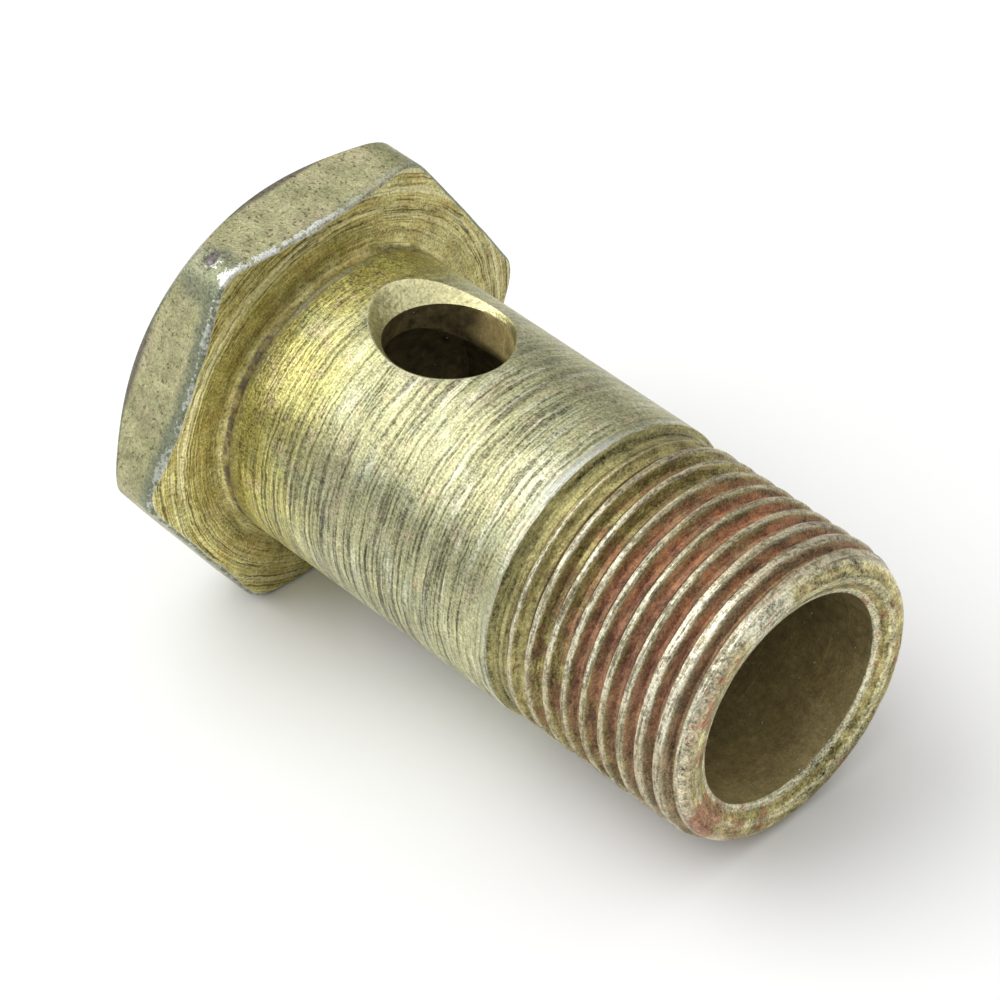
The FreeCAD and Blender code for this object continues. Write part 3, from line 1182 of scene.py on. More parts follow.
    def build(self, skin: Skin, material: bpy.types.Material) -> None:
        """Runs the node tree and adds its result to the bolt's surface.

        Args:
            skin: Where the surface is gathered.
            material: Material of the threaded stretch.
        """
        tree = self.tree(material)
        holder = bpy.data.objects.new("ThreadHolder", bpy.data.meshes.new("ThreadHolder"))
        bpy.context.scene.collection.objects.link(holder)
        modifier = holder.modifiers.new("Thread", "NODES")
        modifier.node_group = tree
        inputs = [item for item in tree.interface.items_tree if item.in_out == "INPUT"]
        identifiers = {item.name: item.identifier for item in inputs}
        for item, value in self.values().items():
            modifier[identifiers[item.value]] = float(value)
        ready = holder.evaluated_get(bpy.context.evaluated_depsgraph_get())
        mesh = bpy.data.meshes.new_from_object(ready)
        holder.modifiers.remove(modifier)
        skin.add_mesh(mesh, Zone.THREAD)
        log.info("thread: %d turns of the tree, %d faces", self.turns(), len(mesh.polygons))
        bpy.data.objects.remove(holder)
        bpy.data.meshes.remove(mesh)


@dataclass(frozen=True)
class Nose:
    """The threaded end past its last turn: the rounded lip and the dished mouth of the bore.

    The dish gives how deep it sags at shares of its width.
    """

    sizes: MainSizes
    thread: Thread
    lip_radius: float = 0.68
    mouth_width: float = 1.1
    mouth_band: float = 0.12
    dish: tuple[tuple[float, float], ...] = ((0.25, 0.05), (0.5, 0.07), (0.75, 0.06), (0.93, 0.02))

    def build(self, skin: Skin) -> None:
        """Adds the lip, the end ring and the dish.

        Args:
            skin: Where the surface is gathered.
        """
        sizes = self.sizes
        slope = self.thread.taper_slope
        corner = sizes.thread_radius - (sizes.reach - sizes.taper_start) * self.thread.slope()
        back = self.lip_radius * math.tan(math.radians((90 - slope) / 2))
        mouth = sizes.bore_radius + self.mouth_width
        depth = sizes.reach - sizes.bore_mouth
        profile = [Row(self.thread.end, self.thread.end_radius())]
        profile += arc((sizes.reach - self.lip_radius, corner - back), self.lip_radius, (slope, 90), 9)
        profile += [Row(sizes.reach - 0.02, mouth + 0.25), Row(sizes.reach - 0.07, mouth)]
        for share, sag in self.dish:
            profile.append(Row(sizes.reach - depth * share - sag, mouth - self.mouth_width * share))
        profile += [Row(sizes.bore_mouth - 0.03, sizes.bore_radius + 0.03),
                    Row(sizes.bore_mouth - 0.1, sizes.bore_radius)]
        places = turned(profile, sizes.ring_angles())
        inside = np.ones((len(profile), 1))
        inside[[0, -2, -1]] = 0.0
        places[..., 0] += 0.03 * (wander(places, 0.8, 41.0) - 0.7) * inside
        radii = np.array([[row.radius] for row in profile])
        skin.add_grid(places, Zone.NOSE, 0.4 + np.abs(radii - sizes.bore_radius) / self.mouth_band)


@dataclass(frozen=True)
class Bore:
    """The blind bore, with the cone that its drill left."""

    sizes: MainSizes
    hole: CrossHole
    drill_point: float = 118.0

    def build(self, skin: Skin) -> None:
        """Adds the bore's wall and its bottom.

        Args:
            skin: Where the surface is gathered.
        """
        angles = self.sizes.ring_angles()
        radius = self.sizes.bore_radius
        patch = self.hole.inner()
        patch.add_beside(skin, angles)
        places = np.linspace(patch.rows[-1], self.sizes.bore_mouth - 0.1, 9)
        skin.add_rows([Row(x, radius) for x in places], angles, Zone.BORE)
        depth = radius / math.tan(math.radians(self.drill_point / 2))
        cone = [Row(self.sizes.bore_floor - depth * share, radius * (1 - share))
                for share in (0, 0.3, 0.6, 0.9, 1)]
        skin.add_rows(cone, angles, Zone.BORE)


class Look(NamedTuple):
    """What a finish paints: colour, metal share, roughness and the height of its relief in millimetres."""

    colour: Value
    metal: Number
    rough: Number
    height: Value


class FinishPen(Pen):
    """Draws a finish in a material's tree, from the place on the bolt and its marks."""

    def __init__(self, tree: bpy.types.NodeTree, bolt: BoltFrame) -> None:
        """Works out the place on the bolt, in millimetres, with its radius, its direction and its marks.

        Args:
            tree: The material's tree.
            bolt: Where the bolt lies.
        """
        super().__init__(tree)
        turn = bolt.matrix().to_quaternion().to_euler()
        self.place = self.draw("ShaderNodeMapping", {
            "Vector": self.draw("ShaderNodeTexCoord", {}, "Object"), "Location": tuple(bolt.origin),
            "Rotation": tuple(turn), "Scale": (MM, MM, MM)}, vector_type="TEXTURE")
        self.x, y, z = self.split(self.place)
        self.radius = self.math("SQRT", y * y + z * z)
        safe = self.radius.most(0.01)
        self.around_y = y / safe
        self.around_z = z / safe
        self.edge, self.groove, self.flank = (
            self.draw("ShaderNodeAttribute", {}, "Fac", attribute_name=label) for label in MARKS)

    def cloud(self, seed: float, scale: float, detail: float = 2.0, rough: float = 0.5) -> Value:
        """Reads noise at the place, by its seed, waves per millimetre, octaves and roughness."""
        return self.noise(self.place, seed, scale, detail, rough)

    def streaks(self, seed: float, along: Value, fineness: float, length: float, detail: float) -> Value:
        """Reads noise that is drawn out round the bolt's axis, as a turning tool leaves it.

        Args:
            seed: Picks another stretch of the noise.
            along: What the streaks are stacked along: the distance along the bolt, or the radius.
            fineness: Streaks per millimetre.
            length: Breaks per radian round the axis.
            detail: Octaves of the noise.

        Returns:
            Noise from 0 to 1 about a half.
        """
        vector = self.vector(along * fineness, self.around_y * length, self.around_z * length)
        return self.noise(vector, seed, 1.0, detail, 0.6)

    def grain(self, seed: float) -> Value:
        """Reads the crisp grain of the plating, from 0 to 1."""
        return self.cloud(seed, 7.5, 1.0, 0.6).fade(0.3, 0.7)

    def grainy(self, colour: Tint, *shares: tuple[Value, Number]) -> Value:
        """Lightens and darkens a colour by noises about a half.

        Args:
            colour: The colour.
            shares: Pairs of a noise and its strength.

        Returns:
            The colour, made lighter and darker.
        """
        total = 1.0
        for amount, strength in shares:
            total = total + (amount - 0.5) * strength
        vector = colour if isinstance(colour, Value) else colour[:3]
        return self.draw("ShaderNodeVectorMath", {0: vector, "Scale": total.most(0.08)}, operation="SCALE")

    def near(self, x: float, radius: float, degrees: float, reach: float) -> Value:
        """Gives 1 at one place on the bolt and 0 beyond a reach from it.

        Args:
            x: Distance along the bolt of the middle.
            radius: Its distance from the axis.
            degrees: Its angle from level.
            reach: How far it goes, in millimetres.

        Returns:
            The share.
        """
        middle = at_angle(x, radius, degrees)
        away = self.draw("ShaderNodeVectorMath", {0: self.place, 1: middle}, "Value", operation="DISTANCE")
        return away.fade(reach, 0.0)


@dataclass(frozen=True)
class Finish:
    """A finish of worn yellow zinc over steel. Each kind paints its own look."""

    name: str = "Finish"
    bare: Colour = srgb(222, 224, 216)
    dirt: Colour = srgb(66, 58, 34)

    def paint(self, pen: FinishPen) -> Look:
        """Paints the look.

        Args:
            pen: Draws in the material's tree.

        Returns:
            The look.
        """
        raise NotImplementedError

    def material(self, bolt: BoltFrame) -> bpy.types.Material:
        """Builds the finish's material.

        Args:
            bolt: Where the bolt lies.

        Returns:
            The material.
        """
        made = bpy.data.materials.new(self.name)
        made.use_nodes = True
        made.node_tree.nodes.clear()
        pen = FinishPen(made.node_tree, bolt)
        look = self.paint(pen)
        bump = pen.draw("ShaderNodeBump", {"Strength": 1.0, "Distance": MM, "Height": look.height})
        shader = pen.draw("ShaderNodeBsdfPrincipled", {"Base Color": look.colour, "Metallic": look.metal,
                                                       "Roughness": look.rough, "Normal": bump})
        pen.feed(pen.node("ShaderNodeOutputMaterial").inputs["Surface"], shader)
        return made


@dataclass(frozen=True)
class FlatFinish(Finish):
    """The forged flats and the top: dull, speckled with pits, and burnished along the rim."""

    name: str = "HeadFlats"
    plating: Colour = srgb(190, 187, 144)
    shade: Colour = srgb(162, 161, 120)
    pink: Colour = srgb(192, 178, 148)
    blue_grey: Colour = srgb(126, 133, 110)
    far_rim: Colour = srgb(90, 80, 84)

    def paint(self, pen: FinishPen) -> Look:
        """Paints mottled plating with dark pits and a bright worn rim.

        Args:
            pen: Draws in the material's tree.

        Returns:
            The look.
        """
        grain = pen.grain(2)
        fine = pen.cloud(22, 4.5, 3, 0.6)
        mottle = pen.cloud(1, 0.6, 3, 0.6).fade(0.36, 0.66)
        top = pen.x.fade(-5.3, -5.45)
        rings = pen.streaks(52, pen.radius + mottle * 0.1, 4.0, 0.8, 1)
        colour = pen.blend(mottle * pen.mix(top, 1.0, 0.4), self.plating, self.shade)
        colour = pen.blend(pen.cloud(23, 0.42).fade(0.5, 0.66) * 0.4, colour, self.pink)
        cloud = pen.cloud(56, 1.6)
        colour = pen.grainy(colour, (grain, 0.36), (fine, 1.1), (cloud, 0.75), (rings, top * 0.7))
        pits = pen.cloud(3, 4.4, 2, 0.6).fade(0.59, 0.67)
        colour = pen.blend(pits * 0.55, colour, self.dirt)
        far = pen.x.fade(-4.55, -4.95) * pen.radius.fade(13.0, 13.3)
        colour = pen.blend(far * 0.75, colour, self.far_rim)

        # The rim: bare metal above, a wide grey band on the lower flats, with a ragged border
        side = pen.around_z.fade(0.93, 0.75)
        toward = pen.around_y.fade(0.3, -0.1)
        ragged = (pen.cloud(4, 3.6, 3, 0.7) - 0.5) * 3.4 + (pen.cloud(24, 0.9) - 0.5) * 1.4
        edge = pen.edge + ragged
        halo = edge.fade(pen.mix(side, 0.7, 2.6), 0.5) * pen.mix(side, 0.3, 0.95)
        colour = pen.blend(halo, colour, pen.grainy(self.blue_grey, (grain, 0.4), (fine, 1.2)))
        dim = (pen.near(-2.2, 15.2, 121.0, 3.6) + ragged * 0.15).fade(0.15, 0.6)
        colour = pen.blend(dim * 0.75, colour, pen.grainy(self.blue_grey, (grain, 0.4), (fine, 1.4)))
        band = edge.fade(pen.mix(side, 0.45, 0.15), pen.mix(side, -0.1, -0.3))
        corner = (pen.near(-0.75, 15.2, 119.0, 1.25) + ragged * 0.5).fade(0.45, 0.65)
        bits = (pen.near(-2.3, 15.2, 118.0, 1.3) + ragged).fade(0.95, 1.15)
        burnish = (band * pen.mix(side, 1.0, 0.6)).most(corner.most(bits)) * pen.mix(toward, 0.2, 1.0)
        colour = pen.blend(burnish, colour, pen.grainy(self.bare, (grain, 0.35), (fine, 0.8)))

        # The nick at the corner, darkened with painted shade
        nick = (pen.near(-2.75, 15.0, 117.2, 0.85) + ragged * 0.5).fade(0.35, 0.7)
        colour = pen.blend(nick * 0.85, colour, self.far_rim)
        rough = pen.mix(burnish, 0.44 + pits * 0.2, 0.36)
        height = grain * 0.006 + fine * 0.06 + pits * -0.05 + rings * (top * 0.05)
        return Look(colour, 0.85, rough, height)


@dataclass(frozen=True)
class TurnedFinish(Finish):
    """The turned underside: golden brown in the tool's grooves, dark with painted shade in the neck."""

    name: str = "HeadUnderside"
    plating: Colour = srgb(196, 188, 128)
    shade: Colour = srgb(168, 156, 94)
    light: Colour = srgb(222, 216, 168)
    orange: Colour = srgb(186, 158, 96)
    # Painted shade in the neck fillet
    neck: Colour = srgb(100, 88, 80)

    def paint(self, pen: FinishPen) -> Look:
        """Paints ring-shaped lines, a warm tint and a ring of painted shade by the neck.

        Args:
            pen: Draws in the material's tree.

        Returns:
            The look.
        """
        grain = pen.grain(25)
        speck = pen.cloud(8, 3.4, 2, 0.7)
        bend = pen.radius + pen.cloud(45, 0.8, 1) * 0.3 + speck * 0.1
        rings = pen.streaks(5, bend, 8.0, 3.2, 1)
        ridges = pen.streaks(34, bend, 4.0, 0.8, 0)
        outer = pen.radius.fade(11.5, 12.5)
        colour = pen.blend(pen.cloud(6, 0.5, 3, 0.6).fade(0.38, 0.62), self.shade, self.plating)
        colour = pen.blend(pen.cloud(7, 0.4).fade(0.48, 0.7) * 0.35, colour, self.orange)
        colour = pen.grainy(colour, (grain, 0.56), (speck, 1.4), (rings, pen.mix(outer, 1.5, 2.1)))
        bright = (ridges + (speck - 0.5) * 0.25).fade(0.52, 0.62) * outer
        colour = pen.blend(bright * 0.6, colour, pen.grainy(self.light, (grain, 0.4)))
        dark = (rings + (speck - 0.5) * 0.4).fade(0.44, 0.34) * outer
        colour = pen.blend(dark * 0.5, colour, self.dirt)

        # Specks, dense by the neck; painted light makes the left side a little lighter, as the camera sees
        # it, and painted shade darkens it close to the neck
        by_neck = pen.radius.fade(11.7, 11.2) * pen.radius.fade(10.6, 11.0)
        specks = speck.fade(pen.mix(by_neck, 0.6, 0.52), pen.mix(by_neck, 0.68, 0.64))
        colour = pen.blend(specks * 0.6, colour, self.dirt)
        painted_side_light = pen.around_y.fade(-0.3, -0.9, 0.0, 0.38)
        painted_side_light = painted_side_light - pen.radius.fade(11.3, 10.7) * pen.around_y.fade(0.2, -0.5) * 0.28
        colour = pen.grainy(colour, (0.5 + painted_side_light, 1.0))

        # Painted shade in the neck, and the worn rim
        close = pen.x + (speck - 0.5) * 0.4
        blots = pen.cloud(53, 1.3, 3, 0.6).fade(0.4, 0.56, 0.35, 1.0)
        neck = close.fade(0.22, 0.34) * pen.around_y.fade(-0.4, -0.6, 0.1, 0.85) * blots
        colour = pen.blend(neck, colour, pen.grainy(self.neck, (grain, 0.5)))
        burnish = (pen.edge + (grain - 0.5) * 0.6).fade(0.7, 0.2) * pen.around_y.fade(0.3, -0.1, 0.1, 0.7)
        colour = pen.blend(burnish, colour, self.bare)
        height = rings * pen.mix(outer, 0.04, 0.09) + speck * 0.04 + grain * 0.006
        return Look(colour, 0.85, pen.mix(burnish, 0.42, 0.36), height)


@dataclass(frozen=True)
class ShankFinish(Finish):
    """The turned shank: yellow by the head, greyer and scratched towards the thread, white at its edge."""

    name: str = "Shank"
    plating: Colour = srgb(203, 197, 126)
    shade: Colour = srgb(180, 172, 104)
    lime: Colour = srgb(204, 208, 126)
    grey: Colour = srgb(168, 168, 134)
    steel: Colour = srgb(146, 152, 128)
    pink: Colour = srgb(200, 178, 150)
    pale: Colour = srgb(214, 216, 196)

    def paint(self, pen: FinishPen) -> Look:
        """Paints fine lines round the shank, greyer and denser towards the thread.

        Args:
            pen: Draws in the material's tree.

        Returns:
            The look.
        """
        drift = pen.cloud(9, 0.25)
        worn = (pen.x + drift * 9.0).fade(6.5, 15.0)
        grain = pen.grain(26)
        speck = pen.cloud(27, 3.2, 2, 0.6)
        bend = pen.x + pen.cloud(35, 0.7, 1) * 0.35 + speck * 0.08
        lines = pen.streaks(10, bend, 5.0, 1.5, 0).fade(0.34, 0.66)
        hair = pen.streaks(36, bend, 10.0, 4.0, 0).fade(0.3, 0.7)
        coarse = pen.streaks(11, bend, 1.0, 0.8, 2)

        # Tints that drift over the plating
        patch = pen.cloud(28, 0.5)
        colour = pen.blend(patch.fade(0.4, 0.62), self.shade, self.plating)
        colour = pen.blend(pen.cloud(29, 0.45).fade(0.48, 0.7) * 0.5, colour, self.lime)
        colour = pen.blend(worn * pen.around_y.fade(0.3, 0.8, 0.85, 0.5), colour, self.grey)
        colour = pen.blend(pen.cloud(30, 0.42, 3).fade(0.5, 0.68) * 0.4, colour, self.steel)
        colour = pen.blend(pen.cloud(12, 0.9).fade(0.52, 0.74) * 0.45, colour, self.pink)
        rubbed = pen.streaks(47, bend, 1.6, 2.2, 3).fade(0.5, 0.66) * worn * 0.4
        # A pale patch by the end of the shank, where the key lamp shines: partly rubbed metal, partly a
        # painted highlight
        by_end = (pen.near(22.4, 9.95, 112.0, 3.4) + speck * 0.4).fade(0.3, 0.75)
        colour = pen.blend(rubbed.most(by_end * 0.3), colour, self.pale)

        # Lines, fainter by the head and on the right, as the camera sees them, and deeper below
        calm = (pen.x + drift * 6.0).fade(9.0, 3.0)
        lined = pen.mix(calm, 1.0, 0.3) * patch.fade(0.3, 0.6, 0.7, 1.0)
        lined = lined * pen.around_y.fade(0.35, -0.1, 0.4, 1.0) * pen.around_z.fade(0.5, 0.1, 1.0, 1.4)
        colour = pen.grainy(colour, (grain, pen.mix(calm, 0.7, 0.9)), (speck, pen.mix(calm, 1.2, 1.9)),
                            (lines, lined * 0.46), (hair, lined * 0.34), (coarse, 0.5))
        # Painted light: lighter below, a painted reflection of the white floor, and a little lighter by the
        # head; painted shade in a band a little above level, a painted reflection of a dark horizon, and on
        # the far side
        under = pen.around_z.fade(-0.2, -0.6, 0.0, 0.2) * worn + calm * 0.07
        level = pen.around_z.fade(0.6, 0.45, 0.0, 0.12) * pen.around_z.fade(0.05, 0.2)
        back = pen.around_y.fade(0.5, 0.75, 0.0, 0.13)
        colour = pen.grainy(colour, (0.5 + under - (level + back), 1.0))
        dark = (lines + (speck - 0.5) * 0.5).fade(0.12, 0.0) * lined
        colour = pen.blend(dark * 0.4, colour, self.dirt)

        # Bare metal along the edges by the thread, round the hole and at the neck, with a painted highlight:
        # strongest on top on the camera's side, where the key lamp shines
        edge = pen.edge + (hair - 0.5) * 0.5 + (grain - 0.5) * 0.6
        past_hole = pen.x.fade(20.0, 22.0)
        by_hole = pen.x.fade(2.0, 2.5) * (1.0 - past_hole)
        burnish = pen.mix(past_hole, edge.fade(0.9, 0.3), edge.fade(0.9, 0.1, 0.0, 0.9))
        burnish = burnish * pen.around_z.fade(0.86, 0.95, 0.35, 1.0) * pen.around_y.fade(0.3, -0.1, 0.3, 1.0)
        burnish = burnish * (1.0 - by_hole * 0.6) * 0.8
        colour = pen.blend(burnish, colour, pen.grainy(self.bare, (hair, 0.3), (grain, 0.4)))
        height = lines * (lined * 0.02) + hair * (lined * 0.012)
        height = height + coarse * 0.03 + grain * 0.006 + speck * 0.02
        return Look(colour, 0.9, 0.33 + speck * 0.12, height)


@dataclass(frozen=True)
class BevelFinish(Finish):
    """The countersink of the cross hole: pale and grainy, with painted shade on its lower side and towards
    the thread.
    """

    name: str = "Countersink"
    plating: Colour = srgb(232, 226, 174)
    shade: Colour = srgb(170, 162, 110)

    def paint(self, pen: FinishPen) -> Look:
        """Paints pale plating with grain.

        Args:
            pen: Draws in the material's tree.

        Returns:
            The look.
        """
        grain = pen.grain(37)
        fine = pen.cloud(38, 3.5, 3, 0.6)
        # Painted shade on the lower side and towards the thread
        lower = (pen.around_y + (fine - 0.5) * 0.5).fade(0.22, -0.12)
        colour = pen.blend(pen.x.fade(9.0, 12.0).most(lower), self.plating, self.shade)
        colour = pen.grainy(colour, (grain, 0.4), (fine, 1.3))
        return Look(colour, 0.8, 0.42, grain * 0.006 + fine * 0.06)


@dataclass(frozen=True)
class ThreadFinish(Finish):
    """The thread: bright crests, worn and with a painted glint, and grooves that go from olive by the shank
    to rust by the end.
    """

    name: str = "Thread"
    plating: Colour = srgb(180, 170, 114)
    shade: Colour = srgb(140, 128, 82)
    neck: Colour = srgb(150, 144, 98)
    # Crest colours: crest is the painted lit tone up and to the left, worn the painted shaded tone elsewhere,
    # and bright the painted glint
    crest: Colour = srgb(188, 180, 150)
    worn: Colour = srgb(172, 160, 130)
    bright: Colour = srgb(246, 242, 220)
    grey: Colour = srgb(148, 134, 112)
    rust: Colour = srgb(168, 124, 94)
    orange: Colour = srgb(180, 126, 84)
    deep_rust: Colour = srgb(132, 88, 68)
    # Painted shade on the flanks that face the head
    gap: Colour = srgb(66, 45, 22)

    def paint(self, pen: FinishPen) -> Look:
        """Paints rust in the grooves, painted shade on the flanks that face the head, ribs by the neck, and
        rubbed crests with a painted glint.

        Args:
            pen: Draws in the material's tree.

        Returns:
            The look.
        """
        grain = pen.grain(14)
        speck = pen.cloud(39, 3.4, 2, 0.6)
        fine = pen.streaks(13, pen.x, 6.0, 4.5, 2)
        blotch = pen.cloud(31, 0.8, 3, 0.6)
        smear = pen.streaks(51, pen.x + speck * 0.3, 2.6, 6.0, 3)

        # Rust in the grooves, from past the first turns to the end
        drift = pen.x + (pen.cloud(15, 0.3, 2, 0.6) - 0.5) * 7.0
        rusted = drift.fade(27.8, 29.6) * drift.fade(38.0, 35.0, 0.45, 1.0)
        rusted = rusted * pen.around_z.fade(-0.3, 0.5, 0.6, 1.0) * blotch.fade(0.3, 0.5, 0.7, 1.0)
        orange_line = pen.x.fade(26.4, 26.8) * pen.x.fade(27.9, 27.5) * blotch.fade(0.45, 0.6)
        rusted = rusted.most(orange_line * 0.6)
        groove = (pen.groove + (smear - 0.5) * 0.8).fade(0.12, 0.6)
        red = pen.blend(smear.fade(0.36, 0.6), self.deep_rust, self.rust)
        hot = pen.around_z.fade(0.6, 0.95) * blotch.fade(0.4, 0.6)
        red = pen.blend(hot * 0.7, red, self.orange)

        # Plating, dull by the end, with the rust, and painted shade on the flanks that face the head
        colour = pen.blend(blotch.fade(0.35, 0.65), self.plating, self.shade)
        colour = pen.blend(pen.x.fade(24.6, 24.1, 0.0, 0.8), colour, self.neck)
        dull = (pen.x + (blotch - 0.5) * 4.0).fade(33.0, 36.0) * 0.6
        colour = pen.blend(dull, colour, self.grey)
        colour = pen.blend(rusted * groove, colour, red)
        gap = (pen.flank + (smear - 0.5) * 0.5).fade(0.2, 0.7)
        colour = pen.blend(gap * 0.9, colour, self.gap)
        ribs = pen.streaks(49, pen.x + speck * 0.15, 4.5, 1.2, 1)
        colour = pen.grainy(colour, (grain, 0.56), (fine, 1.5), (speck, 1.2), (smear, 1.2),
                            (ribs, pen.x.fade(25.1, 24.5) * 2.4))

        # Crests, rubbed bare, with a painted glint and painted lit and shaded tones: brightest up and to the
        # left, where the key lamp shines, as the camera sees them
        ragged = (fine - 0.5) * 0.5 + (speck - 0.5) * 0.6
        top = (pen.groove + ragged).fade(0.3, 0.1)
        top = top * pen.x.fade(24.5, 24.8, 0.0, 0.8) * blotch.fade(0.3, 0.45, 0.7, 1.0)
        toward = (pen.around_y * pen.around_z).fade(-0.15, -0.45)
        painted_glint = (fine + (speck - 0.5) * 0.8).fade(0.38, 0.58) * pen.mix(toward, 0.3, 1.0)
        crest = pen.blend(painted_glint, pen.blend(toward, self.worn, self.crest), self.bright)
        colour = pen.blend(top, colour, pen.grainy(crest, (grain, 0.5), (fine, 2.0), (speck, 1.1)))
        metal = 0.85 - rusted * groove * 0.7
        rough = pen.mix(top, pen.mix(rusted, 0.46, 0.65), 0.38)
        return Look(colour, metal, rough, grain * 0.008 + fine * 0.06 + speck * 0.1)


@dataclass(frozen=True)
class NoseFinish(Finish):
    """The end of the bolt: pale worn plating in rings, with a painted highlight above and rust below."""

    name: str = "Nose"
    plating: Colour = srgb(212, 202, 140)
    shade: Colour = srgb(168, 156, 100)
    pale: Colour = srgb(228, 226, 200)
    grey: Colour = srgb(180, 166, 142)
    rust: Colour = srgb(160, 104, 80)

    def paint(self, pen: FinishPen) -> Look:
        """Paints the rings, the patches and a bright rim at the bore.

        Args:
            pen: Draws in the material's tree.

        Returns:
            The look.
        """
        grain = pen.grain(16)
        fine = pen.cloud(32, 3.4, 3, 0.6)
        rings = pen.streaks(43, pen.radius, 3.6, 2.4, 2)
        rough_border = (fine - 0.5) * 0.5
        wave = pen.radius + rough_border
        left = pen.around_y.fade(-0.1, -0.8)
        colour = pen.blend(pen.cloud(40, 0.8, 3, 0.6).fade(0.4, 0.62), self.shade, self.plating)
        colour = pen.blend(wave.fade(8.4, 8.9) * pen.mix(left, 0.15, 0.75), colour, self.grey)

        # Pale and dark rings by their inner and outer radius; the dark ones fade on the left
        for low, high, share, tint in ((7.0, 7.35, 0.6, self.pale), (7.45, 7.85, 0.25, self.dirt),
                                       (7.95, 8.35, 0.35, self.pale), (8.45, 8.75, 0.22, self.dirt),
                                       (9.2, 9.6, 0.4, self.pale)):
            near_left = 1.0 - left * (0.0 if tint is self.pale else 0.75)
            ring = wave.fade(low - 0.1, low) * wave.fade(high + 0.1, high) * share * near_left
            colour = pen.blend(ring, colour, tint)

        # A painted highlight above, the rust, and painted light that shifts from left to right
        patch = (pen.near(38.1, 9.0, 105.0, 3.4) + rough_border).fade(0.2, 0.6)
        colour = pen.blend(patch * 0.75, colour, self.pale)
        blot = pen.cloud(17, 0.8, 3, 0.6) + rough_border + left * 0.04 + pen.near(38.2, 9.0, 208.0, 3.2) * 0.3
        colour = pen.blend(blot.fade(0.58, 0.68) * 0.75, colour, self.rust)
        above = pen.around_y.fade(0.0, 0.2, 0.0, 0.22) - pen.around_y.fade(0.6, 0.9, 0.0, 0.28)
        smear = pen.streaks(55, pen.radius + pen.x, 3.0, 8.0, 2)
        shift = 0.5 + left * 0.1 - above
        colour = pen.grainy(colour, (grain, 0.7), (fine, 1.9), (rings, 1.4), (smear, 1.8), (shift, 1.0))
        burnish = (pen.edge + (smear - 0.5)).fade(0.9, 0.4) * pen.around_y.fade(-0.3, 0.3, 0.8, 0.3)
        colour = pen.blend(burnish, colour, pen.grainy(self.bare, (fine, 1.0)))
        height = grain * 0.008 + fine * 0.11 + rings * 0.06
        return Look(colour, 0.85, pen.mix(burnish, 0.4, 0.36), height)


@dataclass(frozen=True)
class BoreFinish(Finish):
    """The bore and the cross hole: dull oxide with faint drill marks."""

    name: str = "BoreWall"
    plating: Colour = srgb(158, 142, 96)
    shade: Colour = srgb(148, 132, 88)

    def paint(self, pen: FinishPen) -> Look:
        """Paints dark walls with drill marks and a few bright specks.

        Args:
            pen: Draws in the material's tree.

        Returns:
            The look.
        """
        marks = pen.streaks(18, pen.x, 5.0, 1.2, 1)
        grain = pen.grain(19)
        colour = pen.blend(pen.cloud(46, 0.5).fade(0.35, 0.65), self.shade, self.plating)
        scratch = marks.fade(0.66, 0.72)
        colour = pen.grainy(colour, (grain, 0.36), (marks, 0.3), (0.5 + scratch, 0.3))

        # Painted light: lighter below and by the mouth of the bore, darker deeper in, and a painted lit
        # stretch on the cross hole's own wall, which is past the bore's radius
        light = pen.around_z.fade(0.1, -0.7, 0.22, 0.6) + pen.around_y.fade(0.3, -0.7, 0.0, 0.1)
        light = light + pen.x.fade(36.0, 22.0, 0.0, -0.34)
        wall = pen.x.fade(6.5, 8.5, 0.0, 1.25) - pen.x.fade(11.0, 12.3, 0.0, 0.95)
        wall = pen.radius.fade(7.05, 7.6) * wall
        stain = pen.cloud(54, 1.1, 3, 0.6).fade(0.5, 0.6) * pen.radius.fade(7.0, 7.2)
        colour = pen.blend(stain * 0.3, colour, self.dirt)
        colour = pen.grainy(colour, (light + wall, 1.0), (pen.cloud(48, 1.6, 3, 0.6), 1.2))
        colour = pen.blend(pen.cloud(20, 4.0, 1).fade(0.74, 0.77), colour, self.bare)
        return Look(colour, 0.3, 0.5, marks * 0.008 + grain * 0.003)


class BanjoBolt:
    """The whole bolt: builds its stretches, merges them and dresses them.

    Edges that turn by fewer degrees than smooth_below are shaded smooth.
    """

    smooth_below: float = 38.0

    def __init__(self, record: dict, node: bpy.types.Object) -> None:
        """Reads the frame.

        Args:
            record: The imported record.
            node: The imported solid.
        """
        mounts = {mount["name"]: mount for mount in record["mounts"]}
        self.frame = BoltFrame.from_mounts(mounts)
        self.sizes = MainSizes.from_frame(self.frame, mounts, node)

    def materials(self) -> dict[Zone, bpy.types.Material]:
        """Builds the finishes' materials.

        Returns:
            The material of each zone.
        """
        kinds = {Zone.HEAD: FlatFinish(), Zone.UNDERSIDE: TurnedFinish(), Zone.SHANK: ShankFinish(),
                 Zone.THREAD: ThreadFinish(), Zone.NOSE: NoseFinish(), Zone.BORE: BoreFinish(),
                 Zone.BEVEL: BevelFinish()}
        return {zone: kind.material(self.frame) for zone, kind in kinds.items()}

    def build(self) -> bpy.types.Object:
        """Builds the bolt as one closed piece.

        Returns:
            The piece, placed in the row's frame.
        """
        materials = self.materials()
        skin = Skin()
        head = HexHead(self.sizes)
        hole = CrossHole(self.sizes)
        shank = Shank(self.sizes, head, hole)
        thread = Thread(self.sizes, shank.neck_end, shank.neck_radius)
        head.build(skin)
        shank.build(skin)
        hole.build(skin)
        thread.build(skin, materials[Zone.THREAD])
        Nose(self.sizes, thread).build(skin)
        Bore(self.sizes, hole).build(skin)
        mesh = skin.to_mesh("banjo_bolt_skin", self.frame.matrix(), self.smooth_below)
        for zone in Zone:
            mesh.materials.append(materials[zone])
        piece = bpy.data.objects.new("banjo_bolt_worn", mesh)
        bpy.context.scene.collection.objects.link(piece)
        return piece


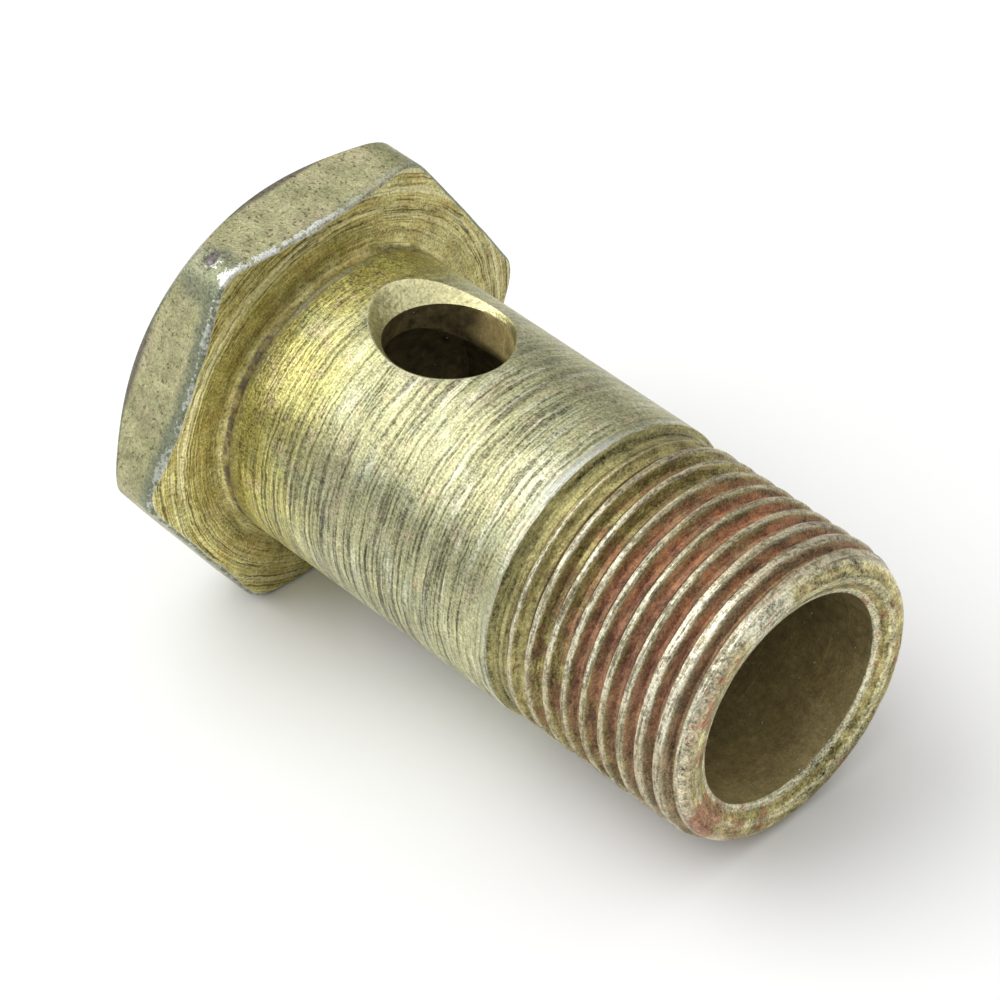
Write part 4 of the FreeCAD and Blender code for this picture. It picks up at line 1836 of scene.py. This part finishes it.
@dataclass(frozen=True)
class Studio:
    """The camera, a white floor that curves up into a grey wall all round, a soft lamp and a pale world."""

    camera_place: tuple[float, float, float] = (0.153973, -0.124248, 0.175318)
    camera_turn: tuple[float, float, float] = (50.4383, 6.0607, 46.5306)
    lens: float = 153.949
    floor_radius: float = 0.9
    bend: float = 0.3
    wall_height: float = 0.36
    floor_columns: int = 96
    white_radius: float = 0.4
    floor_white: Colour = (0.95, 0.95, 0.95, 1.0)
    wall_grey: Colour = (0.34, 0.34, 0.34, 1.0)
    key_direction: tuple[float, float, float] = (-0.47, -0.42, 0.775)
    key_distance: float = 0.62
    key_size: float = 0.68
    key_power: float = 2.4
    zenith: float = 1.0
    horizon: float = 0.6

    def build(self) -> None:
        """Builds the camera, the floor, the lamp and the world."""
        self.camera()
        self.floor()
        self.key()
        self.world()

    def camera(self) -> None:
        """Places the camera at the photograph's viewing angle."""
        data = bpy.data.cameras.new("Camera")
        data.lens = self.lens
        data.sensor_width = 36.0
        data.clip_start = 0.01
        data.clip_end = 20.0
        camera = bpy.data.objects.new("Camera", data)
        camera.location = self.camera_place
        camera.rotation_euler = Euler([math.radians(turn) for turn in self.camera_turn], "XYZ")
        bpy.context.scene.collection.objects.link(camera)
        bpy.context.scene.camera = camera

    def floor(self) -> None:
        """Makes the floor as one turned sheet that sweeps up into a wall."""
        flat = self.floor_radius - self.bend
        profile = [Row(0.0, radius) for radius in np.linspace(0.2, flat, 5)]
        for turn in np.radians(np.linspace(0, 90, 13)[1:]):
            profile.append(Row(self.bend * (1 - math.cos(turn)), flat + self.bend * math.sin(turn)))
        profile.append(Row(self.wall_height, self.floor_radius))
        angles = 2 * math.pi * np.arange(self.floor_columns) / self.floor_columns
        places = turned(profile, angles)[..., [1, 2, 0]]
        rows, columns = places.shape[:2]
        faces = [(row * columns + column, (row + 1) * columns + column,
                  (row + 1) * columns + (column + 1) % columns, row * columns + (column + 1) % columns)
                 for row in range(rows - 1) for column in range(columns)]
        faces.append(tuple(range(columns)))
        mesh = bpy.data.meshes.new("Floor")
        mesh.from_pydata(places.reshape(-1, 3).tolist(), [], faces)
        mesh.shade_smooth()
        mesh.materials.append(self.floor_material())
        floor = bpy.data.objects.new("Floor", mesh)
        bpy.context.scene.collection.objects.link(floor)

    def floor_material(self) -> bpy.types.Material:
        """Makes the matt paper, white under the bolt and grey on the wall.

        Returns:
            The material.
        """
        material = bpy.data.materials.new("Paper")
        material.use_nodes = True
        pen = Pen(material.node_tree)
        x, y, _ = pen.split(pen.draw("ShaderNodeTexCoord", {}, "Object"))
        radius = pen.math("SQRT", x * x + y * y)
        wall = radius.fade(self.white_radius, self.floor_radius)
        colour = pen.blend(wall, self.floor_white, self.wall_grey)
        shader = material.node_tree.nodes["Principled BSDF"]
        for name, value in (("Base Color", colour), ("Roughness", 0.9), ("Specular IOR Level", 0.0)):
            pen.feed(shader.inputs[name], value)
        return material

    def key(self) -> None:
        """Adds the soft square lamp that faces the bolt."""
        data = bpy.data.lights.new("KeyBox", "AREA")
        data.shape = "SQUARE"
        data.size = self.key_size
        data.energy = self.key_power
        lamp = bpy.data.objects.new("KeyBox", data)
        place = Vector(self.key_direction).normalized() * self.key_distance
        lamp.location = place
        lamp.rotation_euler = (-place).to_track_quat("-Z", "Y").to_euler()
        bpy.context.scene.collection.objects.link(lamp)

    def world(self) -> None:
        """Lights the scene from all round, more from above than from the sides."""
        world = bpy.data.worlds.new("Studio")
        world.use_nodes = True
        pen = Pen(world.node_tree)
        _, _, height = pen.split(pen.draw("ShaderNodeTexCoord", {}, "Generated"))
        background = world.node_tree.nodes["Background"]
        pen.feed(background.inputs["Strength"], height.fade(0.2, 0.95, self.horizon, self.zenith))
        pen.feed(background.inputs["Color"], (1.0, 1.0, 1.0, 1.0))
        bpy.context.scene.world = world
        bpy.context.scene.view_settings.view_transform = "Standard"


def main() -> None:
    """Builds the bolt and the studio."""
    logging.basicConfig(level=logging.INFO, format="%(message)s", stream=sys.stdout)
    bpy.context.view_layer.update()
    bolt = BanjoBolt(frame["record"], frame["nodes"]["banjo_bolt"])
    piece = bolt.build()
    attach(piece, "root")
    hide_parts("banjo_bolt")
    log.info("%s rides on root", piece.name)
    Studio().build()


if __name__ == "__main__":
    main()
